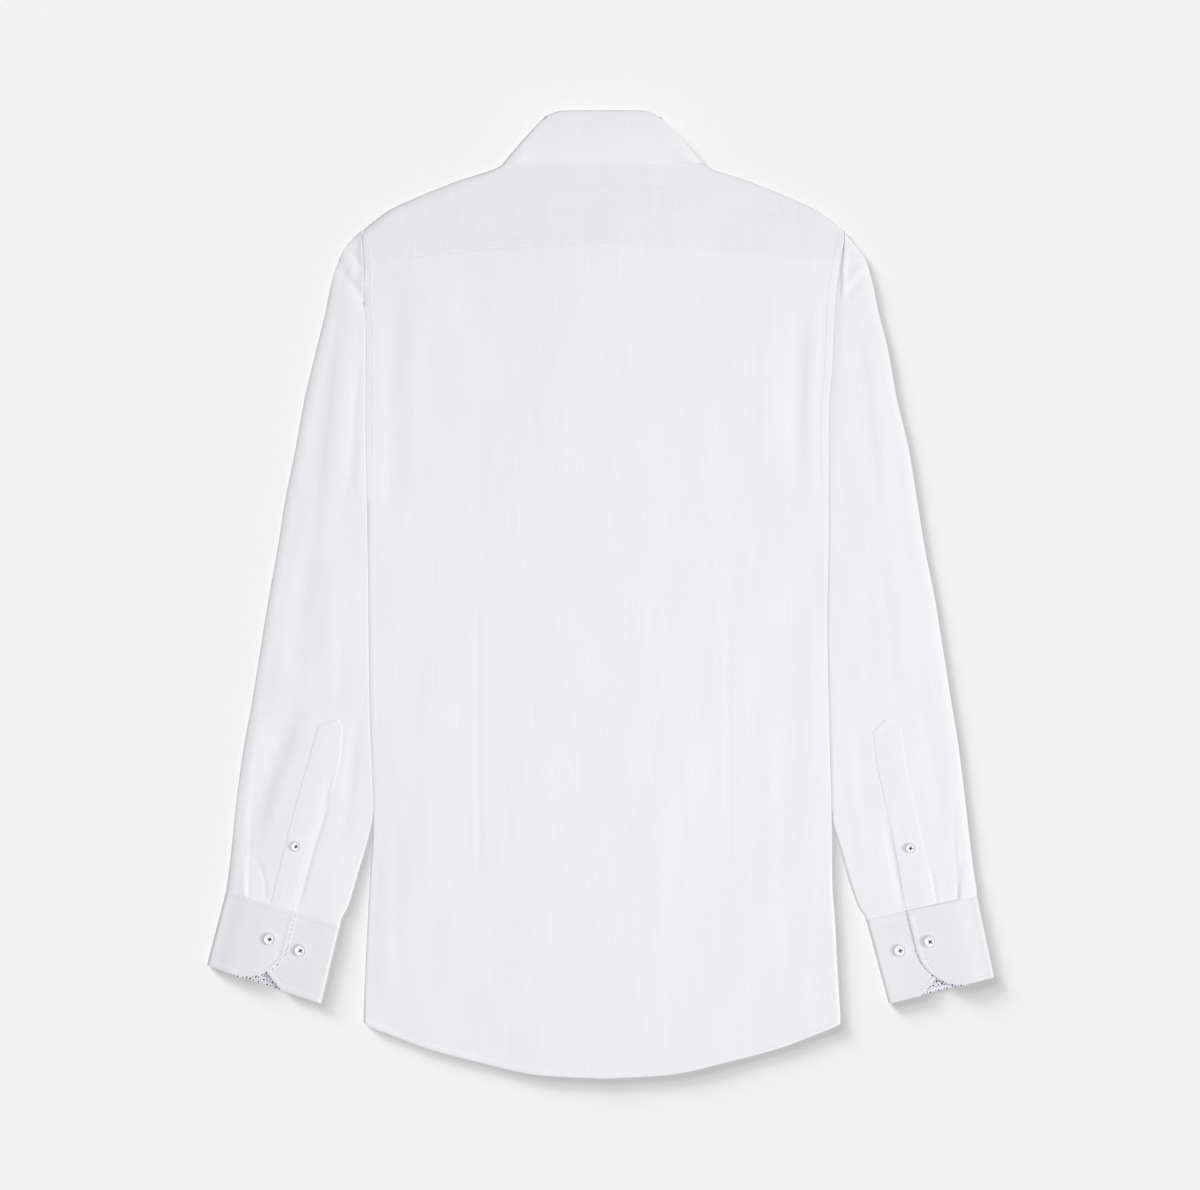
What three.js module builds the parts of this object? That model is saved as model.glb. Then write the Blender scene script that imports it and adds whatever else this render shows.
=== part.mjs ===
// A long sleeve dress shirt laid flat on its front: the back is up and the collar is folded down.
// Sizes are millimetres, +X is to the right, +Y goes to the collar and +Z is up from the surface.
// Left and right are the wearer's, so the left side has the negative X.

import * as THREE from 'three';

// Driving sizes

const CLOTH = 1.2; // wall of every shirt panel
const CUFF_CLOTH = 1.0; // wall of the cuffs and of their printed facings
const SEAM_GAP = 0.3; // between two pieces at a seam, or one on the other
const LAID_GAP = 0.45; // under a strip that follows a curved sleeve

const FLOOR_MID = CLOTH / 2; // middle of a wall that lies on the surface
const PANEL_MID = 5.0; // middle of the upper panels beside their folds
const FOLD_DEPTH = 2.2; // how far a side fold reaches past the flat panel
const BACK_CROWN = 1.3; // how much higher the middle of the back lies
const CROWN_FROM = 20; // half width of the level strip down the middle
const BACK_CROWN_TO = 120;
const FRONT_RISE_TO = 100;
const SLEEVE_CROWN = 0.5;
const SLEEVE_CROWN_WIDTH = 60; // a narrower part of a sleeve lies flatter
const PLEAT_SHARE = 0.12; // how much of a sleeve's width a pleat raises

const OVERLAP = 16; // each front passes the middle by this much
const UNDER_FRONT_RISE = 2.7; // the buttons lie under the left front
const OVER_FRONT_RISE = 4.2; // the right front lies on the left one
const COLLAR_RISE = 2.0; // the fronts lie on the collar's points
const COLLAR_RISE_Y = { from: 235, over: 25 };
const COLLAR_RISE_X = { to: 125, over: 28 };

const SIDE_TURN = 9; // how far the back turns under at each side
const UNDERARM_Y = 85;
const SIDE_HEM_Y = -376.5;
const SIDE_TOP_Y = 293;
const YOKE_TURN = 25; // how far the yoke turns under at the shoulders
const NECK_HALF = 75;

const FLAP_CORNER = 40; // corner radius of a cuff's outer end
const UNDERLAP_CORNER = 42; // its mitre's length, and how steeply it rises
const UNDERLAP_SLOPE = 0.66;
const LEAF_MID = 0.6; // middle of the collar's points on the surface
const BACK_LEAF_RADIUS = 1.4; // of the collar's roll at the back

// Half of an outline that is the same on both sides, by distance from the middle

const BACK_HEM = [
  { x: 0, y: -425.3 },
  { x: 54, y: -422.4 },
  { x: 115, y: -409.5 },
  { x: 157, y: -398 },
  { x: 190, y: -385.5 },
  { x: 203, y: -380.5 },
  { x: 210, y: -376.5 },
];

const FRONT_HEM = [
  { x: 0, y: -412 },
  { x: 54, y: -410 },
  { x: 115, y: -400 },
  { x: 157, y: -390 },
  { x: 197, y: -377.5 },
];

const YOKE_SEAM = [
  { x: 0, y: 309.8 },
  { x: 55, y: 306.5 },
  { x: 110, y: 303 },
  { x: 165, y: 297 },
  { x: 205, y: 293 },
];

const SHOULDER = [
  { x: 75, y: 380 },
  { x: 90, y: 373 },
  { x: 109, y: 370 },
  { x: 124, y: 365 },
  { x: 146, y: 356.4 },
  { x: 167, y: 347.6 },
  { x: 187, y: 338.3 },
  { x: 201, y: 328.3 },
  { x: 212, y: 316.5 },
];

const BACK_NECK = [
  { x: 0, y: 390 },
  { x: 20, y: 390 },
  { x: 40, y: 388.5 },
  { x: 60, y: 385 },
  { x: 75, y: 377.2 },
];

const FRONT_NECK = [
  { x: 0, y: 300 },
  { x: 12, y: 300 },
  { x: 30, y: 303 },
  { x: 50, y: 313 },
  { x: 66, y: 330 },
  { x: 75, y: 352.8 },
];

// Edges that differ a little from side to side, as distances from the middle

const BODY_SIDES = [
  { y: 317, left: 212, right: 213.8 },
  { y: 309, left: 211, right: 212.3 },
  { y: 290, left: 209.4, right: 208.8 },
  { y: 262, left: 209.9, right: 205 },
  { y: 234, left: 207.9, right: 203.2 },
  { y: 196, left: 207.9, right: 201.5 },
  { y: 160, left: 208.1, right: 198.6 },
  { y: 66, left: 206.9, right: 198.9 },
  { y: -22, left: 205.8, right: 197.8 },
  { y: -92, left: 205, right: 198.9 },
  { y: -199, left: 201.8, right: 201.5 },
  { y: -246, left: 204.6, right: 201.8 },
  { y: -290, left: 206.8, right: 204.6 },
  { y: -334, left: 209, right: 206.8 },
  { y: -369, left: 210.3, right: 209 },
];

const SLEEVE_OUTSIDE = [
  { y: 317, left: 212.2, right: 214.4 },
  { y: 312.8, left: 220, right: 216.5 },
  { y: 304, left: 228.8, right: 222.3 },
  { y: 294, left: 232.6, right: 229.5 },
  { y: 285, left: 235.4, right: 232.3 },
  { y: 271, left: 239.4, right: 237.6 },
  { y: 251, left: 243.3, right: 242 },
  { y: 216, left: 251.7, right: 250.8 },
  { y: 172, left: 262.2, right: 258.7 },
  { y: 128, left: 270.2, right: 269.2 },
  { y: 84, left: 279, right: 276.3 },
  { y: 40, left: 286, right: 283.4 },
  { y: -4, left: 293.9, right: 292.2 },
  { y: -48, left: 301, right: 299.2 },
  { y: -92, left: 308, right: 306.2 },
  { y: -136, left: 315.9, right: 313.3 },
  { y: -180, left: 322, right: 318.6 },
  { y: -224, left: 326.5, right: 323.8 },
  { y: -264, left: 331, right: 328 },
];

const SLEEVE_INSIDE = [
  { y: -199, left: 202.4, right: 202.1 },
  { y: -220, left: 207.8, right: 207.8 },
  { y: -246, left: 215.6, right: 214.7 },
  { y: -268, left: 222, right: 222 },
  { y: -290, left: 230, right: 230.6 },
];

// Where each section of a sleeve starts at the body and ends on the outside

const SLEEVE_SECTIONS = [
  { innerY: 308, outerY: 316.6 },
  { innerY: 302, outerY: 313.5 },
  { innerY: 294, outerY: 305 },
  { innerY: 284, outerY: 294 },
  { innerY: 270, outerY: 281 },
  { innerY: 248, outerY: 260 },
  { innerY: 216, outerY: 227 },
  { innerY: 180, outerY: 191 },
  { innerY: 142, outerY: 153 },
  { innerY: 110, outerY: 121 },
  { innerY: 88, outerY: 99 },
  { innerY: UNDERARM_Y, outerY: 96 },
  { innerY: 50, outerY: 61 },
  { innerY: 8, outerY: 20 },
  { innerY: -36, outerY: -24 },
  { innerY: -80, outerY: -67 },
  { innerY: -124, outerY: -110 },
  { innerY: -166, outerY: -151 },
  { innerY: -199, outerY: -182 },
  { innerY: -222, outerY: -202 },
  { innerY: -246, outerY: -222 },
  { innerY: -270, outerY: -241 },
];

// Shares of the way across a sleeve, from its outside, where its upper wall has points
const SLEEVE_SHARES = [1, 0.88, 0.75, 0.6, 0.46, 0.36, 0.32, 0.26, 0.2, 0.165, 0.1, 0];
const SLEEVE_UNDER_STEPS = 6;

// Pleats at the cuff: the share across where each folds, its height and how far it runs up
const PLEATS = {
  left: [
    { share: 0.2, height: 0.8, length: 135 },
    { share: 0.36, height: 0.6, length: 45 },
  ],
  right: [{ share: 0.2, height: 0.8, length: 90 }],
};

// The largest soft folds of the upper panels, troughs with a height below nought
const SOFT_FOLDS = [
  { fromX: -231, fromY: 299, toX: -211, toY: 276, halfWidth: 9, height: 0.6 },
  { fromX: 213, fromY: 310, toX: 207, toY: 276, halfWidth: 8, height: -0.9 },
  { fromX: 211, fromY: 276, toX: 229, toY: 288, halfWidth: 8, height: 0.5 },
  { fromX: -270, fromY: -90, toX: -297, toY: -208, halfWidth: 14, height: -0.8 },
  { fromX: 266, fromY: -60, toX: 283, toY: -190, halfWidth: 14, height: -0.6 },
  { fromX: -110, fromY: -15, toX: -110, toY: -240, halfWidth: 4, height: -0.6 },
  { fromX: 110, fromY: -15, toX: 110, toY: -240, halfWidth: 4, height: -0.6 },
];

// The four corners of each cuff, and how far across from the outside its two ends lie
const CUFFS = {
  left: {
    outerTop: [-330.9, -260],
    innerTop: [-231, -291.7],
    outerBottom: [-348, -325.6],
    innerBottom: [-247.3, -359.5],
    flapEnd: 0.61,
    underlapEnd: 0.25,
  },
  right: {
    outerTop: [329.1, -265.3],
    innerTop: [231.4, -286.4],
    outerBottom: [344.1, -336.2],
    innerBottom: [251.2, -359.5],
    flapEnd: 0.63,
    underlapEnd: 0.27,
  },
};

// Distances from the end of a flap or an underlap where a cuff has points
const CUFF_END_STEPS = [0, 2.5, 7, 13, 21, 30, 40];
const CUFF_DOWN_STEPS = [0, 0.3, 0.6, 0.85, 1];
const CUFF_UNDER_STEPS = 5;
const CUFF_FLOOR_MID = 0.5;
const FLAP_FLAT_STEP = 52; // points between the corners and the folds
const UNDERLAP_FLAT_STEP = 55;
const UNDERLAP_MID = 4.7;
const FLAP_MID = 7.3; // where the flap lies on the underlap
const FLAP_FOLD_MID = 5.5; // where the flap starts at the outer fold
const FLAP_CLIMB = { from: 0.05, over: 0.16 }; // shares of the width where it climbs from one to the other

// Each sleeve placket: its stitched edge, its peak and its free edge
const PLACKETS = {
  left: {
    stitched: [[-249.9, -114.8], [-258, -144], [-276, -208], [-291.5, -271]],
    free: [[-228.8, -116.6], [-231.2, -144.8], [-249.9, -208.1], [-270.2, -278]],
    peak: [-233.2, -109.6],
    peakShare: 0.75,
  },
  right: {
    stitched: [[261.9, -117.3], [266, -150], [278.4, -205], [292.9, -272]],
    free: [[237.6, -121], [241.1, -148.3], [255.2, -214], [266.8, -277.6]],
    peak: [248.8, -109.6],
    peakShare: 0.5,
  },
};
const PLACKET_STEPS_ALONG = 8;
const PLACKET_STEPS_ACROSS = 4;

// Stations round the collar from the middle of the back to the front edge. turn is how far the
// leaf faces up, from 90 at the back through 0 at the side fold to -90 on the surface.
const COLLAR_STATIONS = [
  { turn: 90, rollX: 0, rollY: 423.5, edgeX: 0, edgeY: 380, edgeZ: 8.2, seamX: 0, seamY: 390.4 },
  { turn: 90, rollX: 20, rollY: 423.6, edgeX: 30, edgeY: 379.9, edgeZ: 8.2, seamX: 24, seamY: 390.3 },
  { turn: 90, rollX: 36, rollY: 423.3, edgeX: 55, edgeY: 379.7, edgeZ: 8.1, seamX: 46, seamY: 389 },
  { turn: 90, rollX: 45, rollY: 421.3, edgeX: 80, edgeY: 379.4, edgeZ: 7.7, seamX: 66, seamY: 384.4 },
  { turn: 50, rollX: 50, rollY: 418.6, edgeX: 86, edgeY: 378.9, edgeZ: 6.6, seamX: 72, seamY: 381 },
  { turn: 0, rollX: 51.3, rollY: 416, edgeX: 87.7, edgeY: 378.6, edgeZ: 4.2, seamX: 73.9, seamY: 379.5 },
  { turn: -50, rollX: 50.5, rollY: 413.5, edgeX: 86.8, edgeY: 375.8, edgeZ: 1.4, seamX: 73.9, seamY: 377 },
  { turn: -90, rollX: 47.5, rollY: 408, edgeX: 84.5, edgeY: 370, edgeZ: 0.6, seamX: 74.6, seamY: 370 },
  { turn: -90, rollX: 40, rollY: 392, edgeX: 80, edgeY: 340, edgeZ: 0.6, seamX: 74.6, seamY: 353.5 },
  { turn: -90, rollX: 31, rollY: 372, edgeX: 77.3, edgeY: 315, edgeZ: 0.6, seamX: 65.6, seamY: 330.3 },
  { turn: -90, rollX: 22, rollY: 353, edgeX: 75, edgeY: 294, edgeZ: 0.6, seamX: 49.7, seamY: 313.4 },
  { turn: -90, rollX: 13, rollY: 339.5, edgeX: 72.8, edgeY: 277, edgeZ: 0.6, seamX: 29.8, seamY: 303.4 },
  { turn: -90, rollX: 6.5, rollY: 331.5, edgeX: 70.5, edgeY: 264, edgeZ: 0.6, seamX: 13, seamY: 300.4 },
];
const SIDE_FOLD_FACES = new THREE.Vector3(0.74, 0.67, 0); // at the right side fold
const COLLAR_ROLL_TURNS = [-90, -45, 0, 45, 90].map(THREE.MathUtils.degToRad);
const COLLAR_ROLL_TURN = 3; // how far the leaf turns over the roll before its seam with the band
const BAND_GAP = 3.4; // at that seam, where the collar twists round its side folds
const COLLAR_TAB = [
  { x: 0, topY: 331, seamY: 300.4 },
  { x: -14, topY: 328, seamY: 302 },
];
const LEAF_SHARES = [0.3, 0.65, 1];
const BAND_SHARES = [0, 0.5, 1];

// Buttons
const CUFF_BUTTON = { radius: 5.6, height: 2.4 };
const PLACKET_BUTTON = { radius: 4.6, height: 2.2 };
const FRONT_BUTTON = { radius: 5.6, height: 2.3 };
const COLLAR_BUTTON = { radius: 5, height: 2.3 };
const BUTTON_SIDES = 14;
const SLEEVE_BUTTONS = [
  { name: 'button_placket_left', x: -269.3, y: -221.3, size: PLACKET_BUTTON },
  { name: 'button_cuff_left_1', x: -292.3, y: -302.6, size: CUFF_BUTTON },
  { name: 'button_cuff_left_2', x: -265.5, y: -312.8, size: CUFF_BUTTON },
  { name: 'button_placket_right', x: 270.5, y: -222.8, size: PLACKET_BUTTON },
  { name: 'button_cuff_right_1', x: 287.6, y: -304.9, size: CUFF_BUTTON },
  { name: 'button_cuff_right_2', x: 261.4, y: -312.8, size: CUFF_BUTTON },
];
const SLEEVE_BUTTON_PROBES = [[0, 0], [1, 0], [-1, 0], [0, 1], [0, -1]]; // in radii
const FRONT_BUTTON_COUNT = 7;
const FRONT_BUTTON_TOP_Y = 258;
const FRONT_BUTTON_PITCH = 86;
const COLLAR_BUTTON_Y = 315;

// Finishes

function finish(color, roughness) {
  return new THREE.MeshStandardMaterial({ color, roughness, metalness: 0 });
}

const SHIRT_CLOTH = finish(0xeeedf2, 0.85);
const PRINTED_CLOTH = finish(0xb9bac4, 0.85);
const SHELL = finish(0xf4f2ee, 0.3);

// Small helpers

const SIGN = { left: -1, right: 1 };

function lerp(from, to, share) {
  return from + (to - from) * share;
}

function smooth(share) {
  return THREE.MathUtils.smoothstep(share, 0, 1);
}

function readTable(table, key, column, at) {
  const first = table[0];
  const last = table[table.length - 1];
  const rises = last[key] > first[key];
  let before = first;
  for (const row of table) {
    const reached = rises ? row[key] >= at : row[key] <= at;
    if (reached) {
      if (row === before) return row[column];
      return lerp(before[column], row[column], (at - before[key]) / (row[key] - before[key]));
    }
    before = row;
  }
  return last[column];
}

function halfOutline(table, x) {
  return readTable(table, 'x', 'y', Math.abs(x));
}

function pointBetween(from, to, share) {
  return [lerp(from[0], to[0], share), lerp(from[1], to[1], share)];
}

// Heights of the layers

function softFolds(x, y) {
  let height = 0;
  for (const fold of SOFT_FOLDS) {
    const alongX = fold.toX - fold.fromX;
    const alongY = fold.toY - fold.fromY;
    const lengthSquared = alongX * alongX + alongY * alongY;
    const share = ((x - fold.fromX) * alongX + (y - fold.fromY) * alongY) / lengthSquared;
    const held = THREE.MathUtils.clamp(share, 0, 1);
    const away = Math.hypot(x - fold.fromX - alongX * held, y - fold.fromY - alongY * held);
    height += fold.height * smooth(1 - away / fold.halfWidth);
  }
  return height;
}

function levelThenFall(x, to) {
  return 1 - smooth((Math.abs(x) - CROWN_FROM) / (to - CROWN_FROM));
}

function backHeight(x, y) {
  return PANEL_MID + BACK_CROWN * levelThenFall(x, BACK_CROWN_TO) + softFolds(x, y);
}

function collarRise(x, y) {
  const up = smooth((y - COLLAR_RISE_Y.from) / COLLAR_RISE_Y.over);
  const across = smooth((COLLAR_RISE_X.to - Math.abs(x)) / COLLAR_RISE_X.over);
  return COLLAR_RISE * up * across;
}

function frontHeight(side, x, y) {
  const middleRise = side === 'left' ? UNDER_FRONT_RISE : OVER_FRONT_RISE;
  return FLOOR_MID + Math.max(collarRise(x, y), middleRise * levelThenFall(x, FRONT_RISE_TO));
}

// Walls of cloth

// A grid of middle points holds rows of THREE.Vector3. keep says which of its cells are cloth, and
// a closed grid joins its last column to its first.
function cellCorners(grid, row, column) {
  const next = (column + 1) % grid[row].length;
  return [
    [row, column],
    [row, next],
    [row + 1, next],
    [row + 1, column],
  ];
}

function keptCells(grid, closed, keep) {
  const columns = closed ? grid[0].length : grid[0].length - 1;
  const cells = [];
  for (let row = 0; row < grid.length - 1; row++) {
    for (let column = 0; column < columns; column++) {
      if (keep(row, column)) cells.push(cellCorners(grid, row, column));
    }
  }
  return cells;
}

function wallNormals(grid, cells) {
  const normals = grid.map((row) => row.map(() => new THREE.Vector3()));
  for (const cell of cells) {
    const [a, b, c, d] = cell.map(([row, column]) => grid[row][column]);
    const across = new THREE.Vector3().subVectors(c, a);
    const along = new THREE.Vector3().subVectors(d, b);
    const normal = across.cross(along).normalize();
    for (const [row, column] of cell) normals[row][column].add(normal);
  }
  return normals.map((row) => row.map((normal) => normal.normalize()));
}

const EVERY_CELL = () => true;

function movedOut(grid, distance) {
  const normals = wallNormals(grid, keptCells(grid, false, EVERY_CELL));
  const move = (point, row, column) => point.clone().addScaledVector(normals[row][column], distance);
  return grid.map((points, row) => points.map((point, column) => move(point, row, column)));
}

function wall(grid, thickness, { closed = false, keep = EVERY_CELL } = {}) {
  const cells = keptCells(grid, closed, keep);
  const normals = wallNormals(grid, cells);
  const numbers = new Map();
  const positions = [];
  const triangles = [];
  const edges = new Set();

  const vertex = ([row, column], side) => {
    const key = `${row},${column},${side}`;
    if (!numbers.has(key)) {
      const outwards = normals[row][column];
      const point = grid[row][column].clone().addScaledVector(outwards, (side * thickness) / 2);
      numbers.set(key, positions.length / 3);
      positions.push(point.x, point.y, point.z);
    }
    return numbers.get(key);
  };
  const quad = (a, b, c, d) => triangles.push(a, b, c, a, c, d);

  for (const cell of cells) {
    for (let i = 0; i < 4; i++) edges.add(`${cell[i]}>${cell[(i + 1) % 4]}`);
  }
  for (const cell of cells) {
    const [a, b, c, d] = cell.map((corner) => vertex(corner, 1));
    const [e, f, g, h] = cell.map((corner) => vertex(corner, -1));
    quad(a, b, c, d);
    quad(h, g, f, e);
    for (let i = 0; i < 4; i++) {
      const from = cell[i];
      const to = cell[(i + 1) % 4];
      if (edges.has(`${to}>${from}`)) continue;
      quad(vertex(to, 1), vertex(from, 1), vertex(from, -1), vertex(to, -1));
    }
  }
  const geometry = new THREE.BufferGeometry();
  geometry.setAttribute('position', new THREE.Float32BufferAttribute(positions, 3));
  geometry.setIndex(triangles);
  geometry.computeVertexNormals();
  return geometry;
}

// A piece keeps its geometry about its own middle, and its position puts it in the shirt.
function piece(name, geometry, material) {
  geometry.computeBoundingBox();
  const middle = geometry.boundingBox.getCenter(new THREE.Vector3());
  geometry.translate(-middle.x, -middle.y, -middle.z);
  const mesh = new THREE.Mesh(geometry, material.clone());
  mesh.name = name;
  mesh.position.copy(middle);
  mesh.updateMatrixWorld();
  return mesh;
}

// Points round a side fold from the surface up to the top panel, without its two ends
const FOLD_TURNS = [-45, 0, 45].map(THREE.MathUtils.degToRad);

function foldPoint(turn, bottom, top) {
  const radius = (top - bottom) / 2;
  return { out: FOLD_DEPTH * Math.cos(turn), z: bottom + radius * (1 + Math.sin(turn)) };
}

// Back panel

const BACK_STEPS = [190, 165, 140, 115, 110, 105, 85, 60, 35];
const BACK_COLUMNS = [...BACK_STEPS.map((x) => -x), 0, ...[...BACK_STEPS].reverse()];
const BODY_ROWS_BELOW = 13;
const BODY_ROWS_ABOVE = [88, 110, 142, 180, 216, 248, 272, SIDE_TOP_Y];

function sideRowHeights(lowest) {
  const rows = [];
  for (let i = 0; i <= BODY_ROWS_BELOW; i++) rows.push(lerp(lowest, UNDERARM_Y, i / BODY_ROWS_BELOW));
  return rows;
}

function bodySide(side, y) {
  return readTable(BODY_SIDES, 'y', side, y);
}

function backPanel() {
  const heights = [...sideRowHeights(SIDE_HEM_Y), ...BODY_ROWS_ABOVE];
  const turnedColumns = 2 + FOLD_TURNS.length;
  const grid = heights.map((sideY, row) => {
    const share = (sideY - SIDE_HEM_Y) / (SIDE_TOP_Y - SIDE_HEM_Y);
    const isTurned = row <= BODY_ROWS_BELOW;
    const rowY = (x) => lerp(halfOutline(BACK_HEM, x), halfOutline(YOKE_SEAM, x) - SEAM_GAP / 2, share);

    const turned = (side) => {
      const edge = bodySide(side, sideY) - FLOOR_MID;
      const sign = SIGN[side];
      const flat = edge - FOLD_DEPTH;
      const points = [edge - SIDE_TURN, flat].map((x) => new THREE.Vector3(sign * x, sideY, FLOOR_MID));
      for (const turn of FOLD_TURNS) {
        const at = foldPoint(turn, FLOOR_MID, PANEL_MID);
        points.push(new THREE.Vector3(sign * (flat + at.out), sideY, at.z));
      }
      const end = isTurned ? flat : bodySide(side, sideY) - SEAM_GAP / 2;
      points.push(new THREE.Vector3(sign * end, sideY, PANEL_MID + softFolds(sign * end, sideY)));
      return points;
    };
    const upper = BACK_COLUMNS.map((x) => new THREE.Vector3(x, rowY(x), backHeight(x, rowY(x))));
    return [...turned('left'), ...upper, ...turned('right').reverse()];
  });
  const columns = grid[0].length - 1;
  const keep = (row, column) => {
    const isSide = column < turnedColumns || column >= columns - turnedColumns;
    return row < BODY_ROWS_BELOW || !isSide;
  };
  return piece('back_panel', wall(grid, CLOTH, { keep }), SHIRT_CLOTH);
}

// Yoke

const YOKE_STEPS = [198, 180, 160, 138, 115, 95, NECK_HALF, 60, 40, 20];
const YOKE_UP_SHARES = [0, 0.34, 0.68, 1];
const YOKE_DOWN_SHARES = [0, 0.5, 1];
const ARMHOLE_TOP_X = { left: 211.5, right: 212.5 };

function shoulderTop(x) {
  return halfOutline(SHOULDER, x) - FLOOR_MID - FOLD_DEPTH;
}

function yoke() {
  const inner = [...YOKE_STEPS.map((x) => -x), 0, ...[...YOKE_STEPS].reverse()];
  const columnX = (column, y) => {
    if (column === 0) return -(bodySide('left', y) - SEAM_GAP / 2);
    if (column === inner.length + 1) return bodySide('right', y) - SEAM_GAP / 2;
    return inner[column - 1];
  };
  const columnTop = (column) => {
    if (column === 0) return shoulderTop(ARMHOLE_TOP_X.left);
    if (column === inner.length + 1) return shoulderTop(ARMHOLE_TOP_X.right);
    const x = inner[column - 1];
    return Math.abs(x) < NECK_HALF ? halfOutline(BACK_NECK, x) : shoulderTop(x);
  };
  const columns = inner.length + 2;
  const rows = [];
  const addRow = (place) => rows.push([...Array(columns).keys()].map(place));

  for (const share of YOKE_UP_SHARES) {
    addRow((column) => {
      const nominal = columnX(column, SIDE_TOP_Y);
      const seamY = halfOutline(YOKE_SEAM, nominal) + SEAM_GAP / 2;
      const y = lerp(seamY, columnTop(column), share);
      const x = columnX(column, y);
      return new THREE.Vector3(x, y, backHeight(x, y));
    });
  }
  for (const turn of [...FOLD_TURNS].reverse()) {
    addRow((column) => {
      const flatY = columnTop(column);
      const x = columnX(column, flatY);
      const at = foldPoint(turn, yokeUnderHeight(x, flatY), backHeight(x, flatY));
      return new THREE.Vector3(x, flatY + at.out, at.z);
    });
  }
  for (const share of YOKE_DOWN_SHARES) {
    addRow((column) => {
      const y = columnTop(column) - YOKE_TURN * share;
      const x = columnX(column, y);
      return new THREE.Vector3(x, y, yokeUnderHeight(x, y));
    });
  }
  const firstNeck = inner.indexOf(-NECK_HALF) + 1;
  const lastNeck = inner.indexOf(NECK_HALF) + 1;
  const keep = (row, column) => {
    const isOverNeck = column >= firstNeck && column < lastNeck;
    return row < YOKE_UP_SHARES.length - 1 || !isOverNeck;
  };
  return piece('yoke', wall(rows, CLOTH, { keep }), SHIRT_CLOTH);
}

function yokeUnderHeight(x, y) {
  return frontHeight(x < 0 ? 'left' : 'right', x, y);
}

// Fronts

const FRONT_STEPS = [198, 180, 160, 138, 115, 95, NECK_HALF, 66, 50, 30, 12, 0];
const FRONT_SIDE_STEP = 5;

function frontTop(x) {
  const isNeck = Math.abs(x) < NECK_HALF;
  return isNeck ? halfOutline(FRONT_NECK, x) : shoulderTop(x) - YOKE_TURN - SEAM_GAP;
}

function front(side) {
  const sign = SIGN[side];
  const sideTop = shoulderTop(ARMHOLE_TOP_X[side]) - YOKE_TURN - SEAM_GAP;
  const heights = [...sideRowHeights(SIDE_HEM_Y), ...BODY_ROWS_ABOVE.slice(0, -1), sideTop];
  heights[BODY_ROWS_BELOW] = UNDERARM_Y + 2 * SEAM_GAP;
  heights[BODY_ROWS_BELOW + 1] = UNDERARM_Y + 6 * SEAM_GAP;
  const grid = heights.map((sideY, row) => {
    const share = (sideY - heights[0]) / (sideTop - heights[0]);
    const isBelow = row <= BODY_ROWS_BELOW;
    const inset = isBelow ? FLOOR_MID + SIDE_TURN + SEAM_GAP : SEAM_GAP / 2;
    const sideX = bodySide(side, sideY) - inset;
    const xs = [sideX, ...FRONT_STEPS.map((step) => Math.min(step, sideX - FRONT_SIDE_STEP)), -OVERLAP];
    return xs.map((distance, column) => {
      const x = sign * distance;
      const isSide = column === 0;
      const y = isSide ? sideY : lerp(halfOutline(FRONT_HEM, distance), frontTop(distance), share);
      return new THREE.Vector3(x, y, frontHeight(side, x, y));
    });
  });
  return piece(`front_${side}`, wall(grid, CLOTH), SHIRT_CLOTH);
}

// Sleeves

function sleeveInner(side, y) {
  const lowestJoined = SLEEVE_INSIDE[0].y;
  if (y <= lowestJoined) return readTable(SLEEVE_INSIDE, 'y', side, y);
  const gap = y > UNDERARM_Y ? SEAM_GAP / 2 : SEAM_GAP;
  return bodySide(side, y) + gap;
}

// Each section runs from its inner end to its outer end, the last one along the cuff's seam.
function sleeveSections(side) {
  const sign = SIGN[side];
  const sections = SLEEVE_SECTIONS.map(({ innerY, outerY }) => ({
    inner: [sign * sleeveInner(side, innerY), innerY],
    outer: [sign * readTable(SLEEVE_OUTSIDE, 'y', side, outerY), outerY],
    isJoined: innerY > UNDERARM_Y,
  }));
  const cuff = CUFFS[side];
  const depth = Math.hypot(cuff.outerTop[0] - cuff.outerBottom[0], cuff.outerTop[1] - cuff.outerBottom[1]);
  const aboveCuff = (top, bottom) => pointBetween(top, bottom, -SEAM_GAP / depth);
  sections.push({
    inner: aboveCuff(cuff.innerTop, cuff.innerBottom),
    outer: aboveCuff(cuff.outerTop, cuff.outerBottom),
    isJoined: false,
  });
  return sections;
}

function pleatHeight(side, share, fromCuff) {
  let height = 0;
  for (const pleat of PLEATS[side]) {
    const run = smooth(1 - fromCuff / pleat.length);
    const rise = share <= pleat.share ? smooth(1 - (pleat.share - share) / PLEAT_SHARE) : 0;
    height += pleat.height * run * rise;
  }
  return height;
}

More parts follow.
